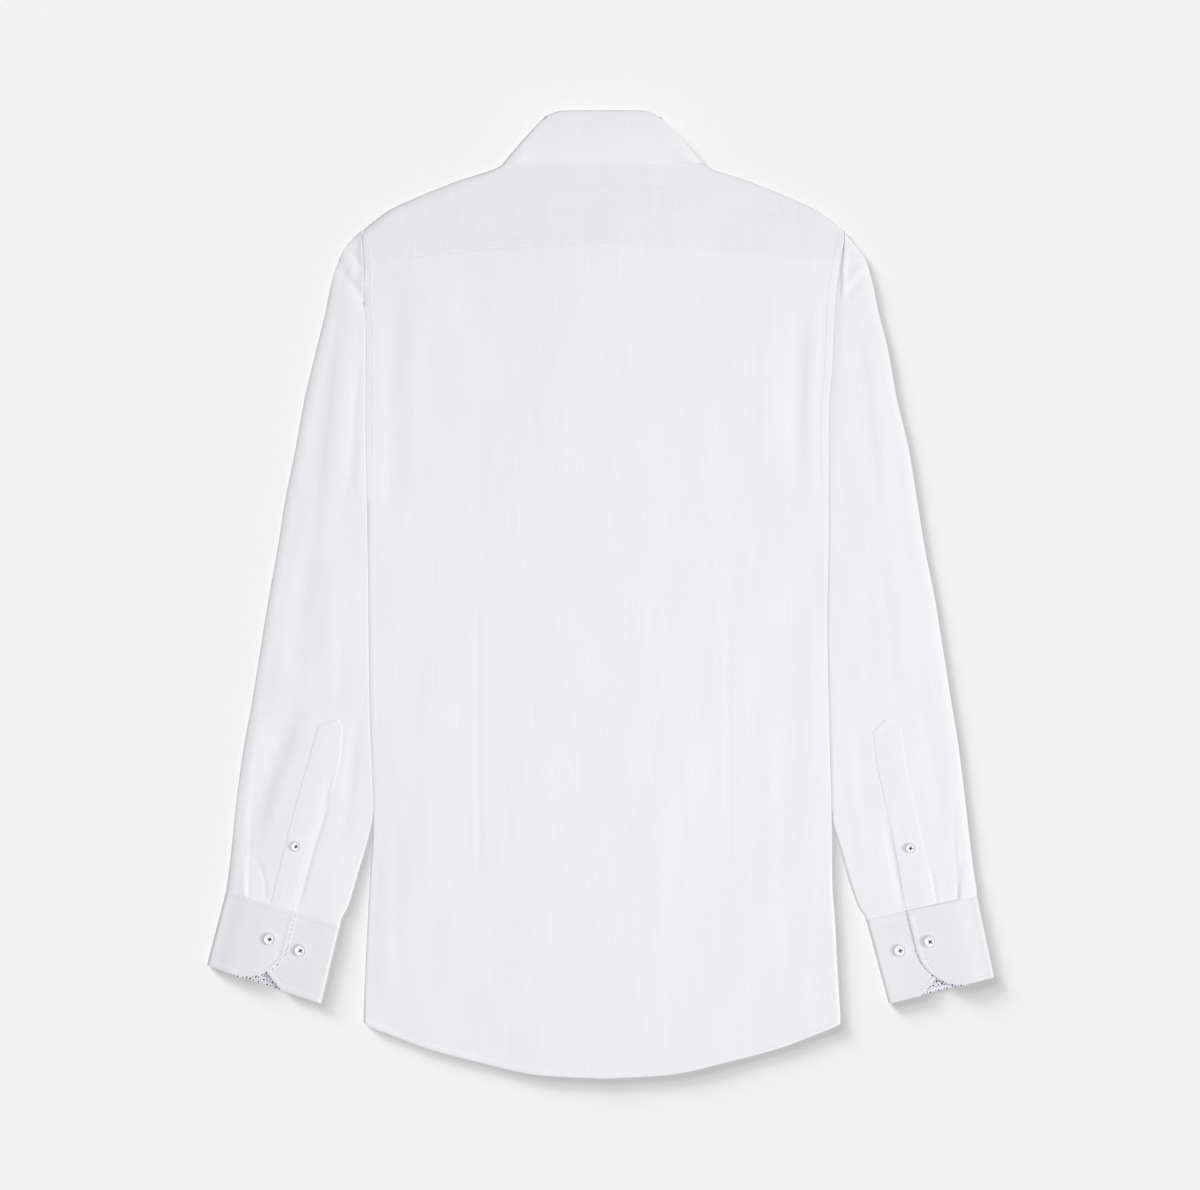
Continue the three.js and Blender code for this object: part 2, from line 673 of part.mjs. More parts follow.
function sleeve(side) {
  const sections = sleeveSections(side);
  const cuffY = sections[sections.length - 1].inner[1];
  const grid = sections.map(({ inner, outer, isJoined }) => {
    const width = Math.hypot(inner[0] - outer[0], inner[1] - outer[1]);
    const flatOuter = FLOOR_MID + FOLD_DEPTH;
    const flatInner = isJoined ? width : width - flatOuter;
    const at = (distance, z) => {
      const [x, y] = pointBetween(outer, inner, distance / width);
      return new THREE.Vector3(x, y, z);
    };
    const upper = SLEEVE_SHARES.map((share) => {
      const point = at(lerp(flatOuter, flatInner, share), 0);
      const crown = SLEEVE_CROWN * Math.sin(Math.PI * share) * smooth(width / SLEEVE_CROWN_WIDTH);
      const pleats = pleatHeight(side, share, inner[1] - cuffY);
      point.z = PANEL_MID + crown + pleats + softFolds(point.x, point.y);
      return point;
    });
    const folded = (isOuter) => FOLD_TURNS.map((turn) => {
      const fold = foldPoint(turn, FLOOR_MID, PANEL_MID);
      return at(isOuter ? flatOuter - fold.out : width - flatOuter + fold.out, fold.z);
    });
    const under = [];
    for (let i = 0; i <= SLEEVE_UNDER_STEPS; i++) {
      under.push(at(lerp(flatOuter, flatInner, i / SLEEVE_UNDER_STEPS), FLOOR_MID));
    }
    return [...upper, ...folded(true).reverse(), ...under, ...folded(false)];
  });
  const firstInnerFold = SLEEVE_SHARES.length + FOLD_TURNS.length + SLEEVE_UNDER_STEPS;
  const keep = (row, column) => !sections[row].isJoined || column < firstInnerFold;
  return piece(`sleeve_${side}`, wall(grid, CLOTH, { closed: true, keep }), SHIRT_CLOTH);
}

// Height of the highest piece under a point
const probe = new THREE.Raycaster();
const PROBE_HEIGHT = 100;
const DOWN = new THREE.Vector3(0, 0, -1);

function topOf(meshes, x, y) {
  probe.set(new THREE.Vector3(x, y, PROBE_HEIGHT), DOWN);
  const hits = probe.intersectObjects(meshes, false);
  return hits.length > 0 ? hits[0].point.z : 0;
}

// Sleeve plackets

function alongPath(path, share) {
  const scaled = share * (path.length - 1);
  const start = Math.min(Math.floor(scaled), path.length - 2);
  return pointBetween(path[start], path[start + 1], scaled - start);
}

function sleevePlacket(side, sleeveMesh) {
  const { stitched, free, peak, peakShare } = PLACKETS[side];
  const grid = [];
  for (let i = 0; i <= PLACKET_STEPS_ALONG; i++) {
    const from = alongPath(stitched, i / PLACKET_STEPS_ALONG);
    const to = alongPath(free, i / PLACKET_STEPS_ALONG);
    const row = [];
    for (let j = 0; j <= PLACKET_STEPS_ACROSS; j++) {
      const share = j / PLACKET_STEPS_ACROSS;
      const [x, y] = i === 0 && share === peakShare ? peak : pointBetween(from, to, share);
      row.push(new THREE.Vector3(x, y, topOf([sleeveMesh], x, y) + LAID_GAP + CLOTH / 2));
    }
    grid.push(row);
  }
  return piece(`sleeve_placket_${side}`, wall(grid, CLOTH), SHIRT_CLOTH);
}

// Cuffs

function cornerCut(fromEnd, radius) {
  if (fromEnd >= radius) return 0;
  return radius - Math.sqrt(radius * radius - (radius - fromEnd) ** 2);
}

// The middle points of a cuff, from the end of its flap round the wrist to the end of its underlap
function cuffGrid(side) {
  const { outerTop, innerTop, outerBottom, innerBottom, flapEnd, underlapEnd } = CUFFS[side];
  const width = Math.hypot(innerTop[0] - outerTop[0], innerTop[1] - outerTop[1]);
  const depth = Math.hypot(outerBottom[0] - outerTop[0], outerBottom[1] - outerTop[1]);
  const foldRoom = (FLAP_FOLD_MID - CUFF_FLOOR_MID) / 2 + CUFF_CLOTH / 2;
  const columns = [];
  const add = (fromOutside, z, cut = 0) => {
    columns.push({ across: fromOutside / width, z, reach: 1 - cut / depth });
  };

  const flapWidth = flapEnd * width;
  for (const step of [...CUFF_END_STEPS, FLAP_FLAT_STEP, flapWidth - foldRoom]) {
    const fromOutside = flapWidth - step;
    const laid = smooth((fromOutside / width - FLAP_CLIMB.from) / FLAP_CLIMB.over);
    add(fromOutside, lerp(FLAP_FOLD_MID, FLAP_MID, laid), cornerCut(step, FLAP_CORNER));
  }
  for (const turn of [...FOLD_TURNS].reverse()) {
    const radius = (FLAP_FOLD_MID - CUFF_FLOOR_MID) / 2;
    add(foldRoom - radius * Math.cos(turn), CUFF_FLOOR_MID + radius * (1 + Math.sin(turn)));
  }
  for (let i = 0; i <= CUFF_UNDER_STEPS; i++) {
    add(lerp(foldRoom, width - foldRoom, i / CUFF_UNDER_STEPS), CUFF_FLOOR_MID);
  }
  for (const turn of FOLD_TURNS) {
    const radius = (UNDERLAP_MID - CUFF_FLOOR_MID) / 2;
    add(width - foldRoom + radius * Math.cos(turn), CUFF_FLOOR_MID + radius * (1 + Math.sin(turn)));
  }
  const underlapWidth = (1 - underlapEnd) * width;
  const underlapSteps = [underlapWidth - foldRoom, UNDERLAP_FLAT_STEP, ...[...CUFF_END_STEPS].reverse()];
  for (const step of underlapSteps) {
    const cut = UNDERLAP_SLOPE * Math.max(0, UNDERLAP_CORNER - step);
    add(underlapEnd * width + step, UNDERLAP_MID, cut);
  }
  return CUFF_DOWN_STEPS.map((down) => columns.map(({ across, z, reach }) => {
    const top = pointBetween(outerTop, innerTop, across);
    const bottom = pointBetween(outerBottom, innerBottom, across);
    const [x, y] = pointBetween(top, bottom, down * reach);
    return new THREE.Vector3(x, y, z);
  }));
}

function cuff(side) {
  return piece(`cuff_${side}`, wall(cuffGrid(side), CUFF_CLOTH), SHIRT_CLOTH);
}

function cuffFacing(side) {
  const inward = SIGN[side] * (CUFF_CLOTH + SEAM_GAP);
  return piece(`cuff_facing_${side}`, wall(movedOut(cuffGrid(side), inward), CUFF_CLOTH), PRINTED_CLOTH);
}

// Collar

// One side's stations: the roll's centre and radius, the way the leaf faces, its edge and its seam
function collarFrames(side) {
  const sign = SIGN[side];
  return COLLAR_STATIONS.map(({ turn, rollX, rollY, edgeX, edgeY, edgeZ, seamX, seamY }) => {
    const tilt = THREE.MathUtils.degToRad(turn);
    const up = smooth((Math.sin(tilt) + 1) / 2);
    const lowest = Math.max(FLOOR_MID + COLLAR_RISE, frontHeight(side, sign * rollX, 0));
    const lowRadius = (lowest - LEAF_MID) / 2;
    const radius = lerp(lowRadius, BACK_LEAF_RADIUS, up);
    const rollZ = lerp(LEAF_MID + lowRadius, backHeight(rollX, rollY) + BACK_LEAF_RADIUS, up);
    const seamZ = lerp(frontHeight(side, sign * seamX, seamY), backHeight(seamX, seamY), up);
    const sideways = SIDE_FOLD_FACES.clone().multiply(new THREE.Vector3(sign, 1, 1));
    const facing = sideways.multiplyScalar(Math.cos(tilt)).setZ(Math.sin(tilt));
    return {
      roll: new THREE.Vector3(sign * rollX, rollY, rollZ),
      edge: new THREE.Vector3(sign * edgeX, edgeY, edgeZ),
      seam: new THREE.Vector3(sign * seamX, seamY, seamZ),
      facing,
      radius,
    };
  });
}

// The way from a roll to the leaf's edge, along the leaf
function fallOf({ roll, edge, facing }) {
  const fall = new THREE.Vector3().subVectors(edge, roll);
  return fall.addScaledVector(facing, -fall.dot(facing)).normalize();
}

function collarLeafSection(frame) {
  const { roll, edge, facing, radius } = frame;
  const fall = fallOf(frame);
  const onRoll = (out, back) => roll.clone().addScaledVector(facing, out).addScaledVector(fall, back);
  const outer = onRoll(radius, 0);
  const points = [onRoll(-radius, COLLAR_ROLL_TURN)];
  for (const turn of COLLAR_ROLL_TURNS) {
    points.push(onRoll(radius * Math.sin(turn), -radius * Math.cos(turn)));
  }
  for (const share of LEAF_SHARES) points.push(outer.clone().lerp(edge, share));
  return points;
}

function collarBandSection(frame) {
  const { roll, seam, facing, radius } = frame;
  const top = roll.clone().addScaledVector(facing, -radius);
  top.addScaledVector(fallOf(frame), COLLAR_ROLL_TURN + BAND_GAP);
  return BAND_SHARES.map((share) => seam.clone().lerp(top, share));
}

function bandTab(side) {
  const sign = SIGN[side];
  return COLLAR_TAB.map(({ x, topY, seamY }) => {
    const z = frontHeight(side, 0, 0);
    const seam = new THREE.Vector3(sign * x, seamY, z);
    const top = new THREE.Vector3(sign * x, topY, z);
    return BAND_SHARES.map((share) => seam.clone().lerp(top, share));
  });
}

// The stations of one side in order from its front edge to the back, then on to the other front
function roundTheNeck(section) {
  const left = collarFrames('left').map(section);
  const right = collarFrames('right').map(section);
  return [...left.reverse(), ...right.slice(1)];
}

function collarFall() {
  return piece('collar_fall', wall(roundTheNeck(collarLeafSection), CLOTH), SHIRT_CLOTH);
}

function collarBand() {
  const grid = [...bandTab('left').reverse(), ...roundTheNeck(collarBandSection), ...bandTab('right')];
  return piece('collar_band', wall(grid, CLOTH), SHIRT_CLOTH);
}

// Buttons

// A raised rim and a shallow dish, as shares of a button's radius and height
const BUTTON_PROFILE = [[0, 0], [0.8, 0], [1, 0.45], [0.88, 1], [0.6, 0.72], [0, 0.66]];

// A round button with its underside at height nought
function buttonGeometry({ radius, height }) {
  const profile = BUTTON_PROFILE.map(([out, up]) => new THREE.Vector2(radius * out, height * up));
  const geometry = new THREE.LatheGeometry(profile, BUTTON_SIDES);
  return geometry.rotateX(Math.PI / 2);
}

function button(name, size, x, y, z, isFaceDown = false) {
  const mesh = new THREE.Mesh(buttonGeometry(size), SHELL.clone());
  mesh.name = name;
  if (isFaceDown) mesh.rotation.x = Math.PI;
  mesh.position.set(x, y, isFaceDown ? z + size.height : z);
  return mesh;
}

function sleeveButton({ name, x, y, size }, carriers) {
  let seat = 0;
  for (const [across, up] of SLEEVE_BUTTON_PROBES) {
    seat = Math.max(seat, topOf(carriers, x + across * size.radius, y + up * size.radius));
  }
  return button(name, size, x, y, seat + SEAM_GAP);
}

function frontButtons() {
  const buttons = [button('button_collar', COLLAR_BUTTON, 0, COLLAR_BUTTON_Y, 0, true)];
  for (let i = 0; i < FRONT_BUTTON_COUNT; i++) {
    const y = FRONT_BUTTON_TOP_Y - i * FRONT_BUTTON_PITCH;
    buttons.push(button(`button_front_${i + 1}`, FRONT_BUTTON, 0, y, 0, true));
  }
  return buttons;
}

// The shirt

function group(...children) {
  const holder = new THREE.Group();
  holder.add(...children);
  return holder;
}

function sleeveGroup(side) {
  const sleeveMesh = sleeve(side);
  const placket = sleevePlacket(side, sleeveMesh);
  const cuffMesh = cuff(side);
  const carriers = [sleeveMesh, placket, cuffMesh];
  const rows = SLEEVE_BUTTONS.filter(({ name }) => name.includes(side));
  const buttons = rows.map((row) => sleeveButton(row, carriers));
  return group(...carriers, cuffFacing(side), ...buttons);
}

const body = group(backPanel(), yoke(), front('left'), front('right'), ...frontButtons());
const collar = group(collarBand(), collarFall());
const shirt = group(body, collar, sleeveGroup('left'), sleeveGroup('right'));

// The shirt stands on the surface with the middle of its outline at the origin.
const bounds = new THREE.Box3().setFromObject(shirt);
const centre = bounds.getCenter(new THREE.Vector3());
shirt.position.set(-centre.x, -centre.y, -bounds.min.z);

export default shirt;
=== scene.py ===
"""A long sleeve dress shirt laid flat on its front, seen from straight above.

Sizes in the tables are millimetres in the shirt's own coordinates, the same ones that the solid
part is drawn in. Meshes are in metres in the shared frame.
"""

import logging
import math
import random
from collections.abc import Callable, Iterable, Sequence
from dataclasses import dataclass
from enum import Enum

import bpy
import numpy as np
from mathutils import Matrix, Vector
from mathutils.bvhtree import BVHTree


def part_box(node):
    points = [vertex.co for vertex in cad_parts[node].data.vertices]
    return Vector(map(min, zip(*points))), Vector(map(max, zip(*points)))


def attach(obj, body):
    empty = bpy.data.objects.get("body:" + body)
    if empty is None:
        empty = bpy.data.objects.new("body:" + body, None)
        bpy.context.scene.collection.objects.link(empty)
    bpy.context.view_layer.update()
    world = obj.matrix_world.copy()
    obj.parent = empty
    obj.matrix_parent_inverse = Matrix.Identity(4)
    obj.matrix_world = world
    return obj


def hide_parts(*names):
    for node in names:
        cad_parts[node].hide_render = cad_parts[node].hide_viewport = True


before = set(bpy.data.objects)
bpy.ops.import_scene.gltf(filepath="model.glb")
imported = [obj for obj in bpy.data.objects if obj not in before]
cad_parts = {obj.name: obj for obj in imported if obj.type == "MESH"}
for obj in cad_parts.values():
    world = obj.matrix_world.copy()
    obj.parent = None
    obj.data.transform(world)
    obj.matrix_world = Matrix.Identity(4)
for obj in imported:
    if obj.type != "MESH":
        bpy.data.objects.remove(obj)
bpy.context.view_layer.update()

log = logging.getLogger("shirt")

Point = tuple[float, float]
Colour = tuple[float, float, float, float]

MM = 0.001

# Layers, the same as the solid part's

SKIN = 0.6  # from the middle of a solid wall out to its surface
CLOTH = 0.7
CUFF_CLOTH = 0.9
SEAM_GAP = 0.3
PANEL_TOP = 5.6
CROWN = 1.3
CROWN_FROM = 20.0
CROWN_TO = 120.0
FRONT_RISE_TO = 100.0
FRONT_RISE = {"left": 2.7, "right": 4.2}
COLLAR_RISE = 2.0
OVERLAP = 16.0
UNDERARM_Y = 85.0
HELD_TO_Y = -190.0  # down to here a sleeve lies against the body
SLEEVE_FREE_Y = -199
SIDE_HEM_Y = -376.5
SIDE_TOP_Y = 293.0
YOKE_TURN = 25.0
NECK_HALF = 75.0

# Half of an outline, by distance from the middle

BACK_HEM = (
    (0, -425.3), (54, -422.4), (115, -409.5), (157, -398), (190, -385.5), (203, -380.5),
    (210, -376.5),
)
FRONT_HEM = ((0, -412), (54, -410), (115, -400), (157, -390), (197, -377.5), (210, -376))
YOKE_SEAM = ((0, 309.8), (55, 306.5), (110, 303), (165, 297), (214, 293))
SHOULDER = (
    (70, 390), (80, 384), (87, 378.8), (96, 374), (109, 369.6), (124, 365), (146, 356.4),
    (167, 347.6), (187, 338.3), (201, 328.3), (213, 318.6),
)
BACK_NECK = ((0, 390), (20, 390), (40, 388.5), (60, 385), (75, 377.2))
FRONT_NECK = ((0, 300), (12, 300), (30, 303), (50, 313), (66, 330), (75, 352.8))

# Distances from the middle on the two sides, by height

BODY_SIDES = (
    (317, 212, 213.8), (309, 211, 212.3), (290, 209.4, 208.8), (262, 209.9, 205),
    (234, 207.9, 203.2), (196, 207.9, 201.5), (160, 208.1, 198.6), (66, 206.9, 198.9),
    (-22, 205.8, 197.8), (-92, 205, 198.9), (-199, 201.8, 201.5), (-246, 204.6, 201.8),
    (-290, 206.8, 204.6), (-334, 209, 206.8), (-369, 210.3, 209),
)
SLEEVE_OUTSIDE = (
    (320.6, 211.6, 212.6), (316.5, 216.4, 214.2), (312.8, 220, 217.2), (304, 227.4, 224.6),
    (294, 232, 231.4), (285, 235.4, 234.3), (271, 239.4, 238), (251, 243.3, 242), (216, 251.7, 250.8),
    (172, 262.2, 258.7), (128, 270.2, 269.2), (84, 279, 276.3), (40, 286, 283.4),
    (-4, 293.9, 292.2), (-48, 301, 299.2), (-92, 308, 306.2), (-136, 315.9, 313.3),
    (-180, 322, 318.6), (-224, 326.5, 323.8), (-268, 331.6, 329.3),
)
SLEEVE_INSIDE = (
    (-199, 202.1, 201.8), (-220, 207.8, 207.8), (-246, 215.6, 214.7), (-268, 222, 222),
    (-290, 230, 230.6),
)
# Heights of the two ends of the sections across a sleeve
SLEEVE_SECTIONS = (
    (309, 320), (303, 315), (294, 305), (284, 294), (270, 281), (248, 260), (216, 227),
    (180, 191), (142, 153), (110, 121), (88, 99), (50, 61), (8, 20), (-36, -24), (-80, -67),
    (-124, -110), (-166, -151), (-199, -182), (-222, -202), (-246, -222), (-270, -241),
)


class Use(Enum):
    """What a piece of cloth is for, which picks its finish; two of the finishes are painted shade."""

    SHIRT = "cloth"
    # the yoke's finish is the shirt cloth painted a little darker, as painted shade
    SHADED_YOKE = "yoke"
    # the cuffs' finish is the shirt cloth painted darker, as painted shade
    SHADED_CUFF = "pressed"
    LINING = "print"


class Side(Enum):
    """One of the wearer's two sides."""

    LEFT = "left"
    RIGHT = "right"

    @property
    def sign(self) -> int:
        """Returns the way it lies on X."""
        return -1 if self is Side.LEFT else 1

    @property
    def column(self) -> int:
        """Returns its column in a table of both sides."""
        return 1 if self is Side.LEFT else 2


# Where a sleeve lies along the body: how far in the rounding starts, and how far its edge dips
HELD_ROUND = {Side.LEFT: 0.3, Side.RIGHT: 0.6}
HELD_DIP = {Side.LEFT: 0.35, Side.RIGHT: 0.9}


# Numbers


def smooth(share: np.ndarray | float) -> np.ndarray:
    """Eases a share from 0 to 1.

    Args:
        share: Any number, held between 0 and 1.

    Returns:
        The eased share.
    """
    held = np.clip(share, 0.0, 1.0)
    return held * held * (3.0 - 2.0 * held)


def between(start: np.ndarray | float, end: np.ndarray | float, share: np.ndarray | float) -> np.ndarray:
    """Returns the value that lies a share of the way from the start to the end."""
    return start + (end - start) * share


def level_then_fall(x: np.ndarray, end: float) -> np.ndarray:
    """Returns 1 near the middle of the shirt and 0 past an end."""
    return 1.0 - smooth((np.abs(x) - CROWN_FROM) / (end - CROWN_FROM))


class Curve:
    """A smooth curve through a short table, which never swings past its rows."""

    def __init__(self, rows: Iterable[Sequence[float]], column: int = 1) -> None:
        """Reads the table.

        Args:
            rows: Rows that start with the place along the curve.
            column: Which value of a row the curve goes through.
        """
        ordered = sorted(rows)
        self.at = np.array([row[0] for row in ordered], float)
        self.value = np.array([row[column] for row in ordered], float)
        steps = np.diff(self.value) / np.diff(self.at)
        before, after = steps[:-1], steps[1:]
        agree = before * after > 0
        total = np.where(agree, before + after, 1.0)
        self.slope = np.zeros_like(self.value)
        self.slope[1:-1] = np.where(agree, 2 * before * after / total, 0.0)
        self.slope[0], self.slope[-1] = steps[0], steps[-1]

    def __call__(self, at: np.ndarray | float) -> np.ndarray:
        """Reads the curve.

        Args:
            at: Places along it, held to its ends.

        Returns:
            Its values there.
        """
        at = np.clip(at, self.at[0], self.at[-1])
        i = np.clip(np.searchsorted(self.at, at, side="right") - 1, 0, len(self.at) - 2)
        width = self.at[i + 1] - self.at[i]
        t = (at - self.at[i]) / width
        start = (1 + 2 * t) * (1 - t) ** 2 * self.value[i] + t * (1 - t) ** 2 * width * self.slope[i]
        end = t * t * (3 - 2 * t) * self.value[i + 1] + t * t * (t - 1) * width * self.slope[i + 1]
        return start + end


def spread(length: float, step: float, fine: Iterable[tuple[float, float, float]] = ()) -> np.ndarray:
    """Places along a length, closer together where there is detail.

    Args:
        length: The whole length.
        step: The usual distance between two places.
        fine: The middle of each detail, its half width and the step there.

    Returns:
        Places from 0 to length.
    """
    at = np.linspace(0.0, length, 2001)
    wanted = np.full_like(at, step)
    for middle, half, fine_step in fine:
        near = smooth(1.5 - np.abs(at - middle) / half)
        wanted = np.minimum(wanted, between(step, fine_step, near))
    count = np.concatenate([[0.0], np.cumsum(np.diff(at) * 0.5 * (1 / wanted[1:] + 1 / wanted[:-1]))])
    return np.interp(np.linspace(0.0, count[-1], math.ceil(count[-1]) + 1), count, at)


# Folds that are placed one by one


@dataclass(frozen=True)
class Fold:
    """A soft fold along a bent line: a ridge, or a trough with a negative height.

    Attributes:
        points: The line it follows.
        half_width: How far it reaches to each side.
        height: Its greatest height.
        lean: From -1 to 1, how much steeper its right side is, looking along the line.
        fade: The share of its length over which each end dies out.
    """

    points: tuple[Point, ...]
    half_width: float
    height: float
    lean: float = 0.0
    fade: float = 0.3

    def lift(self, x: np.ndarray, y: np.ndarray) -> np.ndarray:
        """Works out the fold's own height.

        Args:
            x: Where, across the shirt.
            y: Where, up the shirt.

        Returns:
            The height it adds.
        """
        nearest = np.full(np.shape(x), 1e9)
        signed = np.zeros(np.shape(x))
        along = np.zeros(np.shape(x))
        lengths = [math.dist(a, b) for a, b in zip(self.points, self.points[1:])]
        done = 0.0
        for (ax, ay), (bx, by), length in zip(self.points, self.points[1:], lengths):
            ux, uy = (bx - ax) / length, (by - ay) / length
            share = (x - ax) * ux + (y - ay) * uy
            held = np.clip(share, 0.0, length)
            away = np.hypot(x - ax - ux * held, y - ay - uy * held)
            closer = away < nearest
            nearest = np.where(closer, away, nearest)
            signed = np.where(closer, np.sign(uy * (x - ax) - ux * (y - ay)), signed)
            along = np.where(closer, done + share, along)
            done += length
        ends = self.fade * done + 1e-6
        run = smooth((along + 0.25 * ends) / ends) * smooth((done - along + 0.25 * ends) / ends)
        reach = self.half_width * (1.0 - 0.6 * self.lean * signed)
        return self.height * run * smooth(1.0 - nearest / reach)


@dataclass(frozen=True)
class Pleat:
    """Cloth folded over itself at a cuff, high on its outer side and with a sharp inner edge.

    Attributes:
        points: The folded edge, from the cuff up.
        width: How far out the raised cloth reaches.
        height: Its height at the cuff.
    """

    points: tuple[Point, ...]
    width: float
    height: float

    def lift(self, x: np.ndarray, y: np.ndarray) -> np.ndarray:
        """Works out the pleat's own height.

        Args:
            x: Where, across the shirt.
            y: Where, up the shirt.

        Returns:
            The height it adds.
        """
        edge = Curve([(py, abs(px)) for px, py in self.points])
        out = np.abs(x) - edge(y)
        low, high = self.points[0][1], self.points[-1][1]
        run = np.clip((high - y) / (high - low), 0.0, 1.0) ** 0.7
        width = self.width * between(0.6, 1.0, run)
        rise = smooth(out / 1.6 + 0.5) * smooth(1.0 - out / width) ** 0.8
        crease = smooth(1.0 - np.abs(out + 0.9) / 2.2)
        return self.height * run * (rise - 0.45 * crease)


@dataclass(frozen=True)
class Relief:
    """Everything that makes the flat cloth uneven.

    Attributes:
        shapes: Its folds and pleats.
        waves: The height of the broad unevenness.
        seed: Which unevenness it is.
    """

    shapes: tuple[Fold | Pleat, ...]
    waves: float = 0.3
    seed: int = 1

    def lift(self, x: np.ndarray, y: np.ndarray) -> np.ndarray:
        """Adds up the heights.

        Args:
            x: Where, across the shirt.
            y: Where, up the shirt.

        Returns:
            The height over the flat cloth.
        """
        chance = random.Random(self.seed)
        height = np.zeros(np.broadcast(x, y).shape)
        for _ in range(9):
            length = chance.uniform(55, 190)
            way = chance.gauss(0.0, 0.5)
            turn = chance.uniform(0, 2 * math.pi)
            place = (x * math.cos(way) + y * math.sin(way) * 0.45) * 2 * math.pi / length
            slow = np.sin(y * 2 * math.pi / (2.3 * length) + turn * 2)
            height += self.waves / 3 * np.sin(place + turn) * slow
        for shape in self.shapes:
            height += shape.lift(x, y)
        return height


# Cloth meshes


@dataclass
class Sheet:
    """A grid of points on the outer surface of some cloth.

    Attributes:
        points: Rows of points in millimetres, an array of rows, columns and 3.
        grain: The same rows with each point's place on the uncreased cloth, in metres.
        keep: Which cells are cloth, or None for all of them.
        closed: Whether the last column joins the first.
        flip: Whether the grid's own normals point inwards.
    """

    points: np.ndarray
    grain: np.ndarray
    keep: np.ndarray | None = None
    closed: bool = False
    flip: bool = False

    def cells(self) -> np.ndarray:
        """Returns the four point numbers of each kept cell, turned to face outwards."""
        rows, columns = self.points.shape[:2]
        numbers = np.arange(rows * columns).reshape(rows, columns)
        following = np.roll(numbers, -1, axis=1)
        if not self.closed:
            numbers, following = numbers[:, :-1], following[:, :-1]
        corners = [numbers[:-1], following[:-1], following[1:], numbers[1:]]
        cells = np.stack(corners, axis=-1)
        kept = cells.reshape(-1, 4) if self.keep is None else cells[self.keep]
        return kept[:, ::-1] if self.flip else kept

    def normals(self, cells: np.ndarray) -> np.ndarray:
        """Averages the cells' normals at each point.

        Args:
            cells: The cells that count.

        Returns:
            A unit normal for each point.
        """
        flat = self.points.reshape(-1, 3)
        a, b, c, d = (flat[cells[:, i]] for i in range(4))
        faces = np.cross(c - a, d - b)
        faces /= np.linalg.norm(faces, axis=1, keepdims=True) + 1e-12
        total = np.zeros_like(flat)
        for i in range(4):
            np.add.at(total, cells[:, i], faces)
        return total / (np.linalg.norm(total, axis=1, keepdims=True) + 1e-12)

    def mesh(self, name: str, thickness: float, shift: Vector) -> bpy.types.Mesh:
        """Builds the cloth as a closed wall.

        Args:
            name: The mesh's name.
            thickness: How thick the cloth is, in millimetres.
            shift: From the shirt's own coordinates to the frame, in millimetres.

        Returns:
            The mesh, in metres, smooth but for its cut edges.
        """
        cells = self.cells()
        normals = self.normals(cells)
        outer = self.points.reshape(-1, 3)
        count = len(outer)
        places = np.concatenate([outer, outer - normals * thickness])
        starts = cells.reshape(-1)
        ends = np.roll(cells, -1, axis=1).reshape(-1)
        is_rim = ~np.isin(starts * count + ends, ends * count + starts)
        starts, ends = starts[is_rim], ends[is_rim]
        rims = np.stack([ends, starts, starts + count, ends + count], axis=1)
        faces = np.concatenate([cells, cells[:, ::-1] + count, rims])
        used, faces = np.unique(faces, return_inverse=True)
        faces = faces.reshape(-1, 4)
        mesh = bpy.data.meshes.new(name)
        mesh.vertices.add(len(used))
        mesh.vertices.foreach_set("co", ((places[used] + np.array(shift)) * MM).astype(np.float32).ravel())
        mesh.loops.add(faces.size)
        mesh.loops.foreach_set("vertex_index", faces.astype(np.int32).ravel())
        mesh.polygons.add(len(faces))
        mesh.polygons.foreach_set("loop_start", np.arange(0, faces.size, 4, dtype=np.int32))
        mesh.polygons.foreach_set("use_smooth", np.ones(len(faces), bool))
        mesh.update(calc_edges=True)
        grain = np.concatenate([self.grain.reshape(-1, 2)] * 2)[used][faces.ravel()]
        mesh.uv_layers.new(name="grain").data.foreach_set("uv", grain.astype(np.float32).ravel())
        self.sharpen(mesh, used, starts, ends, count)
        mesh.validate()
        return mesh

    @staticmethod
    def sharpen(
        mesh: bpy.types.Mesh, used: np.ndarray, starts: np.ndarray, ends: np.ndarray, count: int
    ) -> None:
        """Marks the cloth's cut edges as sharp on both its faces.

        Args:
            mesh: The cloth.
            used: The first numbers of the points that it kept.
            starts: Where each edge of its rim starts.
            ends: Where each edge of its rim ends.
            count: How many points the outer surface had.
        """
        pairs = np.zeros(len(mesh.edges) * 2, np.int32)
        mesh.edges.foreach_get("vertices", pairs)
        edges = np.sort(pairs.reshape(-1, 2), axis=1)
        rims = np.concatenate([np.stack([starts, ends], axis=1), np.stack([starts, ends], axis=1) + count])
        rims = np.sort(np.searchsorted(used, rims), axis=1)
        total = len(used)
        sharp = np.isin(edges[:, 0].astype(np.int64) * total + edges[:, 1], rims[:, 0] * total + rims[:, 1])
        marks = mesh.attributes.new("sharp_edge", "BOOLEAN", "EDGE")
        marks.data.foreach_set("value", sharp)


def flat_grain(points: np.ndarray, turn: float = 0.0) -> np.ndarray:
    """Lays out cloth whose threads run up the shirt, or at an angle to that.

    Args:
        points: A grid of points in millimetres.
        turn: The threads' angle, in radians.

    Returns:
        The grid's places on the cloth, in metres.
    """
    across = points[..., 0] * math.cos(turn) + points[..., 1] * math.sin(turn)
    along = points[..., 1] * math.cos(turn) - points[..., 0] * math.sin(turn)
    return np.stack([across, along], axis=-1) * MM


# Finishes


def shade(red: float, green: float, blue: float) -> Colour:
    """Turns a screen colour into a linear one.

    Args:
        red: From 0 to 255.
        green: From 0 to 255.
        blue: From 0 to 255.

    Returns:
        The linear colour.
    """
    parts = [c / 255 for c in (red, green, blue)]
    linear = [c / 12.92 if c <= 0.04045 else ((c + 0.055) / 1.055) ** 2.4 for c in parts]
    return (linear[0], linear[1], linear[2], 1.0)


